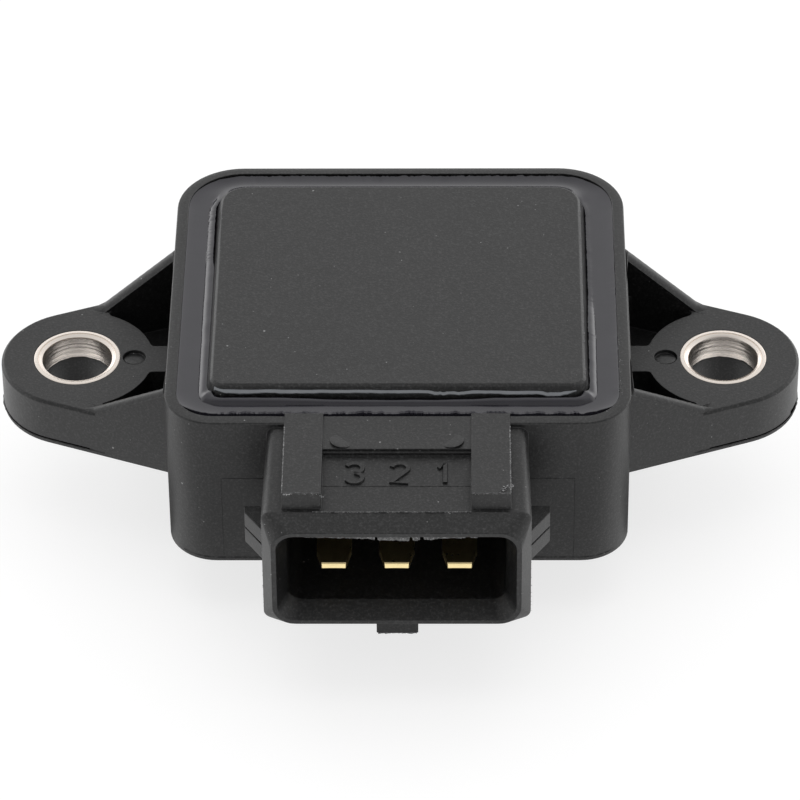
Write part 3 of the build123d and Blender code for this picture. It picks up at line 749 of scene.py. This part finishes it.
def rounded_loop(half, corners):
    """Points round a rectangle whose front and rear corners have their own radius."""
    front, rear = corners
    turns = ((1, -1, -90.0, front), (1, 1, 0.0, rear), (-1, 1, 90.0, rear), (-1, -1, 180.0, front))
    arcs = []
    for across, along, start, radius in turns:
        centre = Vector((across * (half[0] - radius), along * (half[1] - radius)))
        angles = [math.radians(start + 90.0 * step / corner_steps) for step in range(corner_steps + 1)]
        arcs.append([centre + radius * Vector((math.cos(angle), math.sin(angle))) for angle in angles])
    loop = []
    for corner, arc in enumerate(arcs):
        following = arcs[(corner + 1) % 4][0]
        loop.extend(arc)
        loop.extend(arc[-1].lerp(following, step / straight_steps) for step in range(1, straight_steps))
    return loop


wall_loop = rounded_loop(wall_half, wall_corners)
rim_loop = rounded_loop(rim_half, rim_corners)
moat_width = (rim_loop[0] - wall_loop[0]).length
print("moat:", len(wall_loop), "places round,", round(moat_width, 2), "mm wide at a front corner")

# %% [markdown]
# The seal was poured into the moat and set while it moved. It climbed a little up the cover's wall as a
# round bead, pulled back from the rim in places and cracked along the front, so its edges are anything but
# straight. At the rear it hangs between the two walls like a slack cloth. One function gives its outline
# across the moat at any place round it. A bevelled ring would be simpler, but all of its edges would be
# true.

# %% Seal section
seal_level = 14.32
moat_floor = 12.9
wall_lean = 0.4 / 1.15
bead_leans = (math.radians(5.0), math.radians(42.0))
bead_steps = 12
rear_valley = 1.6
rear_bow = 0.2
flat_shares = (0.15, 0.3, 0.45, 0.6, 0.7, 0.8, 0.88, 0.94)


def rise(value, low, high):
    """A soft step from 0 to 1 as a value passes from low to high."""
    share = min(max((value - low) / (high - low), 0.0), 1.0)
    return share * share * (3.0 - 2.0 * share)


def wobble(along, seed, per_mm=1.0):
    """Repeatable unevenness between about -1 and 1 along a length in millimetres."""
    return noise.noise(Vector((along * per_mm, seed * 7.31, seed * 3.17))) * 1.6


def zones(spot):
    """How far a place belongs to the front, rear, left, right, a front corner and the middle."""
    x, y = spot
    front = rise(-y, 13.0, 13.75)
    rear = rise(y, 12.4, 13.7)
    sides = (1.0 - front) * (1.0 - rear)
    left = rise(-x, 14.0, 15.3) * sides
    right = rise(x, 14.0, 15.3) * sides
    corner = rise(-y, 8.5, 13.0) * rise(abs(x), 13.2, 15.2)
    return front, rear, left, right, corner, 1.0 - rise(abs(x), 3.0, 10.0)


def bead_arc(share):
    """Shares of the bead's width and height, from its flat crest to its steep foot."""
    flat, steep = bead_leans
    lean = flat + (steep - flat) * share
    out = (math.sin(lean) - math.sin(flat)) / (math.sin(steep) - math.sin(flat))
    return out, (math.cos(lean) - math.cos(steep)) / (math.cos(flat) - math.cos(steep))


def seal_section(inner, outer, travelled):
    """The seal's outline from the cover's wall to the rim, as places and heights."""
    y = inner.y
    span = (outer - inner).length
    front, rear, left, right, corner, middle = zones(inner)
    slow = wobble(travelled, 1.0, 0.7)
    fine = wobble(travelled, 2.0, 3.1)
    frayed = wobble(travelled, 3.0, 9.0)
    # the gap at the rim, wide along the front
    gap = front * (0.5 + 0.08 * slow + 0.07 * fine + 0.06 * frayed)
    gap += rear * (0.05 + 0.05 * slow + 0.07 * fine + 0.05 * frayed)
    gap += right * max(0.03 * slow + 0.02 * fine, 0.0) - 0.04 * (left + right)
    # the crack along the cover's wall
    crack = left * rise(y, 3.0, 4.5) * (0.14 + 0.03 * frayed)
    crack += right * (0.08 + 0.02 * slow + 0.02 * fine + 0.03 * frayed) * rise(12.5 - y, 0.0, 1.0)
    crack += rise(-y, 13.3, 13.82) * (0.44 + 0.085 * middle)
    # the bead, full along the left and fading in along the right
    bead = left * (0.8 + 0.2 * rise(-y, -10.0, -4.0)) + right * rise(-y, -0.5, 5.0)
    bead = min(bead + corner * (1.0 - front), 1.0)
    bead_height = 0.04 + 0.24 * bead + front * (0.38 - 0.13 * middle) + 0.02 * slow
    bead_width = 0.3 + 0.28 * bead + 1.0 * rear + front * (0.12 - 0.13 * middle) + 0.02 * slow
    wall = crack - 0.02 - wall_lean * bead_height
    crest = max(0.09 + 0.37 * rise(-y, 12.3, 13.83) + 0.1 * middle * front, wall + 0.1)

    def height_at(distance, lift):
        """A lift above the seal's level, which bows up towards both walls at the rear."""
        return seal_level + lift + rear * rear_bow * (distance - rear_valley) ** 2

    bead_lift = (1.0 - rear) * bead_height
    top = height_at(crest, bead_lift)
    rows = [(wall, moat_floor), (wall, top - 0.08), (wall + 0.04, top - 0.02)]
    for step in range(bead_steps + 1):
        out, height = bead_arc(step / bead_steps)
        distance = crest + bead_width * out
        rows.append((distance, height_at(distance, bead_lift * height)))
    flat_start = rows[-1][0]
    flat_end = span - gap
    climb = 0.2 * (left + right) + 0.07 * front + 0.05 * rear * max(slow + fine, 0.0)
    for share in flat_shares:
        distance = flat_start + (flat_end - flat_start) * share
        rows.append((distance, height_at(distance, climb * share ** 3)))
    edge = height_at(flat_end, climb)
    rows.append((flat_end - 0.04, edge - 0.01))
    rows.append((flat_end, edge - 0.03 - 0.04 * (front + rear)))
    rows.append((flat_end + 0.01, moat_floor))
    return [(inner.lerp(outer, distance / span), height) for distance, height in rows]


print("seal outline:", len(seal_section(wall_loop[0], rim_loop[0], 0.0)), "points across")

# %% [markdown]
# With its outline known everywhere, the seal is a ring: a closed skin over the outlines all round the moat.
# It takes the place of the seal's plain solid.

# %% Poured seal


def ring(sections):
    """Points and faces of a closed ring over sections of places and heights."""
    count = len(sections[0])
    points = [Vector((*spot, height)) for rows in sections for spot, height in rows]
    faces = []
    for index in range(len(sections)):
        here = index * count
        there = (index + 1) % len(sections) * count
        for row in range(count):
            after = (row + 1) % count
            faces.append((here + row, here + after, there + after, there + row))
    return points, faces


seal_sections = []
travelled = 0.0
last_inner = wall_loop[0]
for inner, outer in zip(wall_loop, rim_loop):
    travelled += (inner - last_inner).length
    seal_sections.append(seal_section(inner, outer, travelled))
    last_inner = inner
poured_seal = mesh_piece("poured_seal", *ring(seal_sections))
ride_with(poured_seal, sealing_resin, "sealing_resin")
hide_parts("sealing_compound")

# %% [markdown]
# The rim round the seal isn't flat on the real part: its top rounds over towards the outside, which draws a
# light edge along the rear and the sides. A low crown on the rim does this, flat at the seal and curved
# over its outer half. Above the socket the rim has no edge of its own, and there the crown sinks out of
# sight. A wider bevel on the solid would round the seal's side of the rim as well.

# %% Rim crown
rim_level = from_above(18.4, -6.0)[0].z
rim_top_half = (17.9, 16.3)
rim_top_width = 0.86
rim_lift = 0.06
rim_flat = 0.38
rim_sink = 0.012
rim_depth = 0.1
rim_break = 0.03
rim_rows = 10
socket_ends = (9.4, 10.6)
rim_shares = [0.0, 0.04] + [rim_flat + (1.0 - rim_flat) * row / rim_rows for row in range(rim_rows + 1)]


def rim_section(inner, outer):
    """The crown's outline across the rim, as places and heights."""
    front = rise(-inner.y, 14.0, 16.2)
    above_socket = front * (1.0 - rise(abs(inner.x), *socket_ends))
    lift = rim_lift * (1.0 - 0.5 * front) * (1.0 - above_socket)
    rows = [(inner, rim_level - rim_depth), (outer, rim_level - rim_depth)]
    for share in reversed(rim_shares):
        over = max(share - rim_flat, 0.0) / (1.0 - rim_flat)
        drop = rim_break if share == 0.0 else 0.0
        rows.append((inner.lerp(outer, share), rim_level - rim_sink + lift * (1.0 - over ** 2) - drop))
    return rows


rim_inner = rounded_loop(rim_top_half, rim_corners)
rim_outer = rounded_loop([half + rim_top_width for half in rim_top_half],
                         [radius + rim_top_width for radius in rim_corners])
rim_sections = [rim_section(inner, outer) for inner, outer in zip(rim_inner, rim_outer)]
rim_crown = mesh_piece("rim_crown", *ring(rim_sections))
ride_with(rim_crown, housing_plastic, "housing_plastic")

# %% [markdown]
# Along the front some resin crept up the cover and set as a thin film that leans out like a ledge, with a
# dark crack below it; its pale colour is a painted highlight. Its edge wanders, and it drops towards the
# right. A strip of five-sided slices follows the cover's wall; painting the strip on the wall would lose the
# dark gap under it.

# %% Resin ledge
ledge_ends = (-14.8, 14.4)
ledge_fade = 0.9
ledge_steps = 260
ledge_root = 15.13
ledge_slope = 0.42
cover_top = 15.47
cover_front = -13.425
root_depth = 0.25
ledge_slices = []
for step in range(ledge_steps + 1):
    x = ledge_ends[0] + (ledge_ends[1] - ledge_ends[0]) * step / ledge_steps
    root = ledge_root - 0.06 * rise(x, -12.0, -2.0) - 0.08 * rise(x, 1.0, 13.0) + 0.02 * wobble(x, 5.0, 0.8)
    notch = rise(x, 2.4, 3.2) * rise(-x, -6.2, -5.2) + rise(x, 11.4, 12.2) * rise(-x, -13.6, -12.8)
    root -= notch * (0.08 + 0.08 * abs(wobble(x, 9.0, 2.5)))
    wall = cover_front - wall_lean * (cover_top - root)
    full = rise(x - ledge_ends[0], 0.0, ledge_fade) * rise(ledge_ends[1] - x, 0.0, ledge_fade)
    deep = 0.21 + 0.05 * rise(-x, 3.0, 10.0) + 0.03 * rise(x, 4.0, 10.0)
    deep = 0.05 + full * (deep + 0.03 * wobble(x, 6.0, 0.6) + 0.02 * wobble(x, 7.0, 3.0))
    edge = root - ledge_slope * deep
    thick = 0.12 + 0.03 * wobble(x, 8.0, 1.5)
    outline = [
        (wall + root_depth, edge - thick - 0.1), (wall - deep + 0.03, edge - thick),
        (wall - deep, edge - 0.03), (wall - deep + 0.05, edge + 0.015), (wall + root_depth, root + 0.04),
    ]
    ledge_slices.append([Vector((x, y, z)) for y, z in outline])
resin_ledge = mesh_piece("resin_ledge", *tube(ledge_slices))
ride_with(resin_ledge, ledge_resin_highlight, "sealing_resin")

# %% [markdown]
# The pin numbers stand on the socket's sloped top, as plain raised strokes. They were cut into the mould
# with a small end mill, so each stroke has one width, a flat face and steep walls. Each digit is a path,
# laid on the skin by rays from above, and a ridge is swept along it. A font would bring rounder, thinner
# strokes.

# %% Pin numbers
digit_half = 0.65
digit_height = 2.18
digit_row = -22.65
digit_places = {"3": -3.36, "2": 0.26, "1": 3.75}
stroke_foot = 0.46
stroke_crest = 0.32
stroke_height = 0.17


def ridge(hits, foot, crest, height, sink=0.05, ragged=0.0, seed=0.0):
    """A low ridge along places on the skin: a flat crest on sloped walls, sunk a little."""
    places = [place for place, _ in hits]
    slices = []
    travelled = 0.0
    for index, (place, up) in enumerate(hits):
        before = places[max(index - 1, 0)]
        after = places[min(index + 1, len(places) - 1)]
        travelled += (place - before).length
        side = up.cross(after - before).normalized()
        uneven = 1.0 + ragged * (wobble(travelled, seed, 3.0) + 0.6 * wobble(travelled, seed + 0.5, 9.0))
        top = place + up * max(height * uneven, 0.1 * height)
        base = place - up * sink
        slices.append([base + side * foot / 2, top + side * crest / 2,
                       top - side * crest / 2, base - side * foot / 2])
    return tube(slices)


def stroke_arc(middle, start, end, steps=16):
    """Points along half a digit's round stroke, between two angles in degrees."""
    angles = [math.radians(start + (end - start) * step / steps) for step in range(steps + 1)]
    return [(digit_half * math.cos(a), middle + digit_height / 4 * math.sin(a)) for a in angles]


top, bottom = digit_height / 2, -digit_height / 2
digit_strokes = {
    "3": [stroke_arc(top / 2, 155.0, -90.0), stroke_arc(bottom / 2, 90.0, -155.0)],
    "2": [stroke_arc(top / 2, 165.0, -35.0) + [(-digit_half, bottom), (digit_half, bottom)]],
    "1": [[(-0.42, top - 0.55), (0.1, top), (0.1, bottom)]],
}
digit_parts = []
for digit, middle in digit_places.items():
    for stroke in digit_strokes[digit]:
        hits = [from_above(middle + x, digit_row + y) for x, y in stroke]
        digit_parts.append(ridge(hits, stroke_foot, stroke_crest, stroke_height))
pin_numbers = mesh_piece("pin_numbers", *joined(digit_parts))
ride_with(pin_numbers, housing_plastic, "housing_plastic")

# %% [markdown]
# Where two halves of a mould meet, they leave a fine seam, and a separate slide leaves its outline as a
# witness line. The seam runs round each ear near its underside, and the slide that shaped the socket left
# its outline on the front wall. Each is a ridge no thicker than a hair, laid on the skin by rays that run
# level towards the part. A bump in the material would be flat when seen from the side.

# %% Seams and witness lines
ear_middle = 27.0
ear_root = 19.3
ray_reach = 20.0
seam_height = 3.62
seam_foot = 0.16
seam_crest = 0.03
seam_rise = 0.07
panel_seam = ((-5.9, -24.05), (5.9, -24.05))
# first end, last end, steps, foot, height, raggedness and seed of each witness line on the right
witness_lines = (
    ((14.3, -40.0, 8.8), (14.3, -40.0, 0.55), 60, 0.1, 0.035, 0.4, 13.0),
    ((14.3, -19.0, 8.8), (10.7, -19.0, 8.8), 30, 0.1, 0.035, 0.4, 15.0),
    ((17.6, -40.0, 0.42), (10.9, -40.0, 0.42), 60, 0.11, 0.04, 0.5, 17.0),
)


def evenly(first, last, steps):
    """Evenly spaced points from one to another."""
    return [Vector(first).lerp(Vector(last), step / steps) for step in range(steps + 1)]


def round_ear(side, height, first, last, steps):
    """Where level rays towards an ear's hole meet its edge, between two bearings in degrees."""
    hits = []
    for step in range(steps + 1):
        bearing = math.radians(first + (last - first) * step / steps)
        outward = Vector((side * math.cos(bearing), math.sin(bearing), 0.0))
        hits.append(on_skin(Vector((side * ear_middle, 0.0, height)) + ray_reach * outward, -outward))
    return [(place, facing) for place, facing in hits if place is not None and abs(place.x) > ear_root]


seam_parts = []
for side in (-1, 1):
    hits = round_ear(side, seam_height, -108.0, 108.0, 120)
    seam_parts.append(ridge(hits, seam_foot, seam_crest, seam_rise, ragged=0.5, seed=11.0 + side))
    mirror = Vector((side, 1.0, 1.0))
    for first, last, steps, foot, height, ragged, seed in witness_lines:
        starts = evenly(mirror * Vector(first), mirror * Vector(last), steps)
        hits = [on_skin(start, (0.0, 1.0, 0.0)) for start in starts]
        hits = [(place, facing) for place, facing in hits if place is not None]
        seam_parts.append(ridge(hits, foot, seam_crest, height, ragged=ragged, seed=seed + side))
hits = [from_above(*start) for start in evenly(*panel_seam, 80)]
seam_parts.append(ridge(hits, 0.12, 0.04, 0.03, ragged=0.4, seed=19.0))
mould_seams = mesh_piece("mould_seams", *joined(seam_parts))
ride_with(mould_seams, housing_plastic, "housing_plastic")

# %% [markdown]
# Ejector pins push a part out of its mould, and none of them ends quite flush. Two left round marks on the
# panel that stand proud at their outer front side, and two more sank into the ears beside the bushings,
# deepest at the rear. A mark is a disc whose top leans: a middle point, three circles and a short wall
# below. A tilted cylinder would show its lower side as well.

# %% Ejector marks
mark_steps = 48
mark_circles = ((0.5, 0.0), (0.93, 0.0), (0.985, 0.02), (1.0, None))
mark_wall = 0.05
panel_level = from_above(0.0, -19.0)[0].z
panel_step = -20.41


def leaning_disc(centre, radius, level, low, high, askew):
    """A disc whose top runs from low to high along a direction, with a wall that ends below low."""
    middle = level + (low + high) / 2
    points = [Vector((*centre, middle))]
    faces = []
    for circle, (share, drop) in enumerate(mark_circles):
        for step in range(mark_steps):
            angle = 2.0 * math.pi * step / mark_steps
            spoke = Vector((math.cos(angle), math.sin(angle)))
            spot = Vector(centre) + radius * share * spoke
            height = middle + (high - low) / 2 * share * spoke.dot(Vector(askew))
            height = level + low - mark_wall if drop is None else height - drop
            points.append(Vector((spot.x, max(spot.y, panel_step), height)))
            here = 1 + circle * mark_steps + step
            there = 1 + circle * mark_steps + (step + 1) % mark_steps
            faces.append((here - mark_steps, here, there, there - mark_steps) if circle else (0, here, there))
    return points, faces


mark_parts = []
for side in (-1, 1):
    on_panel = (side * 4.4, -19.47)
    on_ear = (side * 22.2, -0.03)
    mark_parts.append(leaning_disc(on_panel, 0.95, panel_level, -0.12, 0.2, (side * 0.75, -0.66)))
    mark_parts.append(leaning_disc(on_ear, 0.86, ear_level, -0.33, -0.03, (side * 0.2, -0.98)))
ejector_marks = mesh_piece("ejector_marks", *joined(mark_parts))
ride_with(ejector_marks, housing_plastic, "housing_plastic")

# %% [markdown]
# The seam round each ear and a nick of the right ear lie in shade, and that shade is painted: a thin matte
# strip of near-black with no gloss at all, laid on the skin like the seams. A dark stroke in the colour
# alone would need the place of every seam in the plastic's shader.

# %% Painted seam shade
shade_strip_height = seam_height + 0.12
shade_strip_foot = 0.14
shade_strip_crest = 0.1
shade_strip_rise = 0.012
shade_strip_ragged = 0.3
nick_edge = 0.05
nick_rise = 0.014
# height, width and the two bearings of each strip in the nick
nick_strips = ((3.75, 0.75, -14.0, -27.0), (3.6, 0.4, -27.0, -36.0))

shade_strip_parts = []
for side in (-1, 1):
    hits = round_ear(side, shade_strip_height, -100.0, 50.0, 120)
    strip = ridge(hits, shade_strip_foot, shade_strip_crest, shade_strip_rise, ragged=shade_strip_ragged, seed=51.0 + side)
    shade_strip_parts.append(strip)
for height, width, first, last in nick_strips:
    hits = round_ear(1, height, first, last, 20)
    strip = ridge(hits, width, width - nick_edge, nick_rise, ragged=shade_strip_ragged, seed=55.0 + height)
    shade_strip_parts.append(strip)
# Painted shade: a near-black strip with no gloss stands for the shade in the seams and in the nick.
painted_seam_shade = speckled("painted_seam_shade", (0.002, 0.002, 0.002), (0.012, 0.012, 0.012), 0.9, 4.0, 0.002)
painted_seam_shade.node_tree.nodes["Principled BSDF"].inputs["Specular IOR Level"].default_value = 0.0
painted_shade_lines = mesh_piece("painted_shade_lines", *joined(shade_strip_parts))
ride_with(painted_shade_lines, painted_seam_shade, "housing_plastic")

# %% [markdown]
# The plug socket shows the roughest work: thin flash where plastic crept between the slides. It stands as a
# ragged line along the lip's rear edge, the coding ribs and the bottom tab, and hangs from the top of the
# mouth. Torn paper edges are often made with a noise on the outline, and the same works for a torn skin.

# %% Flash
flash_pitch = 0.06
flash_foot = 0.1
flash_crest = 0.02
flash_sink = 0.03
flash_ragged = 0.9
lip_level = from_above(0.0, -27.0)[0].z
rib_level = from_above(7.48, -26.25)[0].z
tab_level = on_skin((0.0, -26.9, -20.0), (0.0, 0.0, 1.0))[0].z
# first end, last end, the way it stands, height and seed of each line
flash_lines = (
    ((-6.6, -27.0, lip_level), (5.9, -27.0, lip_level), (0.0, -0.5, 0.8), 0.1, 21.0),
    ((-9.0, -26.3, rib_level), (-5.95, -26.3, rib_level), (0.0, -0.6, 0.8), 0.14, 22.0),
    ((5.95, -26.3, rib_level), (9.02, -26.3, rib_level), (0.0, -0.6, 0.8), 0.15, 23.0),
    ((9.02, -26.3, rib_level), (9.02, -18.0, rib_level), (0.7, 0.0, 0.7), 0.05, 24.0),
    ((-9.02, -26.3, rib_level), (-9.02, -18.0, rib_level), (-0.7, 0.0, 0.7), 0.03, 25.0),
    ((-1.55, -27.0, tab_level), (1.55, -27.0, tab_level), (0.0, -0.4, -0.8), 0.05, 27.0),
)
sag_ends = (-7.2, 6.4)
sag_steps = 420
mouth_top = 12.5

flash_parts = []
for first, last, up, height, seed in flash_lines:
    steps = max(int((Vector(last) - Vector(first)).length / flash_pitch), 8)
    hits = [(place, Vector(up).normalized()) for place in evenly(first, last, steps)]
    flash_parts.append(ridge(hits, flash_foot, flash_crest, height, flash_sink, flash_ragged, seed))
sag_slices = []
for step in range(sag_steps + 1):
    x = sag_ends[0] + (sag_ends[1] - sag_ends[0]) * step / sag_steps
    droop = 0.1 + 0.34 * math.exp(-((x - 0.2) / 3.0) ** 2) + 0.05 * wobble(x, 28.0, 1.6)
    droop += 0.05 * wobble(x, 29.0, 6.0) + 0.04 * wobble(x, 29.5, 15.0)
    droop *= 1.0 - 0.85 * rise(wobble(x, 30.0, 2.2), 0.55, 0.7)
    outline = [(-28.5, mouth_top), (-28.62, mouth_top - 0.12 - max(droop, 0.02)), (-28.66, mouth_top)]
    sag_slices.append([Vector((x, y, z)) for y, z in outline])
flash_parts.append(tube(sag_slices))
mould_flash = mesh_piece("mould_flash", *joined(flash_parts))
frayed_plastic = speckled("frayed_plastic", (0.07, 0.07, 0.071), (0.4, 0.4, 0.4), 0.6, 5.0, 0.004)
ride_with(mould_flash, frayed_plastic, "housing_plastic")

# %% [markdown]
# Broken flash and dust lie about as crumbs, mostly along the cracked seal and on the right rib. Each crumb
# is an eight-sided chip with its corners pushed about by a seeded generator, so the scatter is the same
# each time. Loose particles of a particle system would be harder to keep in place.

# %% Crumbs
crumb_dice = random.Random(41)
rim_top = rim_level + rim_lift
chip_corners = [(1, 0, 0), (0, 1, 0), (-1, 0, 0), (0, -1, 0), (0, 0, 1), (0, 0, -1)]
chip_sides = [(0, 1, 4), (1, 2, 4), (2, 3, 4), (3, 0, 4), (1, 0, 5), (2, 1, 5), (3, 2, 5), (0, 3, 5)]
# first end, last end, count, size and scatter of each row of crumbs
crumb_rows = (
    ((18.0, 9.0, rim_top - 0.02), (18.0, -14.0, rim_top - 0.02), 60, 0.03, 0.05),
    ((18.1, -6.0, rim_top), (18.0, -13.5, rim_top), 50, 0.04, 0.09),
    ((17.7, -13.0, 14.1), (15.5, -15.5, 14.1), 40, 0.035, 0.12),
    ((-14.0, -15.5, 14.05), (14.5, -15.5, 14.05), 70, 0.03, 0.05),
    ((-12.0, 15.9, 14.1), (15.0, 15.9, 14.1), 26, 0.03, 0.08),
    ((-15.2, 12.0, 14.7), (-15.2, 9.5, 14.7), 14, 0.03, 0.05),
    ((8.0, -26.25, 14.9), (9.1, -25.2, 14.9), 40, 0.065, 0.12),
    ((-10.4, -27.2, 12.9), (-9.9, -28.3, 12.2), 10, 0.03, 0.05),
    ((10.68, -27.02, 13.0), (10.68, -27.02, 3.0), 26, 0.03, 0.015),
    ((-10.68, -27.02, 13.0), (-10.68, -27.02, 3.0), 26, 0.03, 0.015),
    ((9.9, -28.66, 12.0), (9.9, -28.66, 4.0), 20, 0.03, 0.03),
    ((-9.9, -28.66, 12.0), (-9.9, -28.66, 4.0), 24, 0.03, 0.03),
    ((15.16, 11.5, 15.42), (15.16, -13.0, 15.42), 60, 0.03, 0.03),
    ((-9.0, -26.34, 14.8), (-8.3, -26.34, 14.85), 22, 0.05, 0.05),
    ((-6.1, -26.36, 14.8), (-5.8, -26.4, 14.6), 14, 0.045, 0.04),
    ((6.0, -26.34, 14.82), (8.2, -26.34, 14.86), 26, 0.035, 0.04),
    ((9.02, -25.5, 14.88), (9.02, -18.0, 14.88), 40, 0.03, 0.04),
    ((-9.0, -26.4, 14.86), (-6.0, -26.4, 14.86), 16, 0.04, 0.05),
    ((-6.2, -27.05, 13.55), (5.8, -27.05, 13.55), 30, 0.03, 0.04),
)

crumb_parts = []
for first, last, count, size, scatter in crumb_rows:
    for _ in range(count):
        spot = Vector(first).lerp(Vector(last), crumb_dice.random())
        spot += Vector((crumb_dice.gauss(0.0, scatter), crumb_dice.gauss(0.0, scatter), 0.0))
        reach = size * (0.45 + crumb_dice.random())
        pushed = [[part * (0.5 + crumb_dice.random()) for part in corner] for corner in chip_corners]
        crumb_parts.append(([spot + reach * Vector(corner) for corner in pushed], chip_sides))
crumb_plastic = speckled("crumb_plastic", (0.16, 0.16, 0.165), (0.6, 0.6, 0.6), 0.6, 3.0, 0.002)
loose_crumbs = mesh_piece("loose_crumbs", *joined(crumb_parts))
ride_with(loose_crumbs, crumb_plastic, "housing_plastic")

# %% [markdown]
# The blades were stamped from strip and coined at the tip. That leaves a top edge that sags in the middle
# and a small slope that faces forward and a little up, so the tips are the brightest spots in the dark
# socket. A thin wedge on the end of each blade gives that slope. A brighter colour at the tips would look
# painted on.

# %% Coined tips
tip_slope = math.radians(10.0)
tip_sag = 0.12
tip_inset = 0.05
tip_root = 0.06
tip_slices = 14

tip_parts = []
for name in ("terminal_1", "terminal_2", "terminal_3"):
    corners = corners_of(nodes[name])
    tip_end = min(corner.y for corner in corners)
    tip = [corner for corner in corners if corner.y < tip_end + 0.01]
    left = min(corner.x for corner in tip) + tip_inset
    right = max(corner.x for corner in tip) - tip_inset
    low = min(corner.z for corner in tip) + tip_inset
    high = max(corner.z for corner in tip) - tip_inset
    slices = []
    for step in range(tip_slices + 1):
        share = step / tip_slices
        x = left + (right - left) * share
        tip_top = high - tip_sag * arch(share)
        end = tip_end - (tip_top - low) * math.tan(tip_slope)
        outline = [(tip_end + tip_root, low), (end, low), (tip_end, tip_top), (tip_end + tip_root, tip_top)]
        slices.append([Vector((x, y, z)) for y, z in outline])
    tip_parts.append(tube(slices))
    print(name, "tip:", round(right - left, 2), "by", round(high - low, 2), "mm")
coined_tips = mesh_piece("coined_tips", *joined(tip_parts))
ride_with(coined_tips, gold_contact, "gold_contact")

# %% [markdown]
# The bushings were turned from bar. The top has a flat land, a fine groove and a broad chamfer, and the
# bore keeps the marks of the boring tool. A lathe profile spun round the hole's axis gives all of that as
# real steps. The lower end of the bore is ragged where plastic crept under the metal. Cutting a ring with
# boolean shapes would give true edges only.

# %% Turned bushings
bore_radius = 2.9
bore_marks = 0.012
bore_foot = 5.33
bore_height = 2.1
bore_rows = 26
bore_rag = 0.07
spin_steps = 144
# radius and height from the foot of the outside up over the land, the groove and the chamfer
bushing_land = [
    (3.61, 5.33), (3.61, 7.56), (3.59, 7.61), (3.54, 7.63), (3.295, 7.63),
    (3.27, 7.56), (3.245, 7.56), (3.22, 7.585), (2.925, 7.47),
]

for side, label in ((-1, "left"), (1, "right")):
    profile = list(bushing_land)
    for row in reversed(range(bore_rows + 1)):
        radius = bore_radius + bore_marks * wobble(row, 31.0 + side, 0.9)
        profile.append((radius, bore_foot + bore_height * row / bore_rows))
    sections = []
    for step in range(spin_steps):
        angle = 2.0 * math.pi * step / spin_steps
        spoke = Vector((math.cos(angle), math.sin(angle)))
        section = [(Vector((side * ear_middle, 0.0)) + radius * spoke, height) for radius, height in profile]
        spot, foot = section.pop()
        section.append((spot, foot + bore_rag * abs(wobble(step * 0.19, 33.0 + side, 1.0))))
        sections.append(section)
    turned = mesh_piece("turned_bushing_" + label, *ring(sections))
    ride_with(turned, plated_steel, "plated_steel")
    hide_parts(label + "_bushing")

# %% [markdown]
# Last, the size of the bare solids is written out.

# %% Size of the bare solids
print("cad box:", [list(corner) for corner in cad_box])
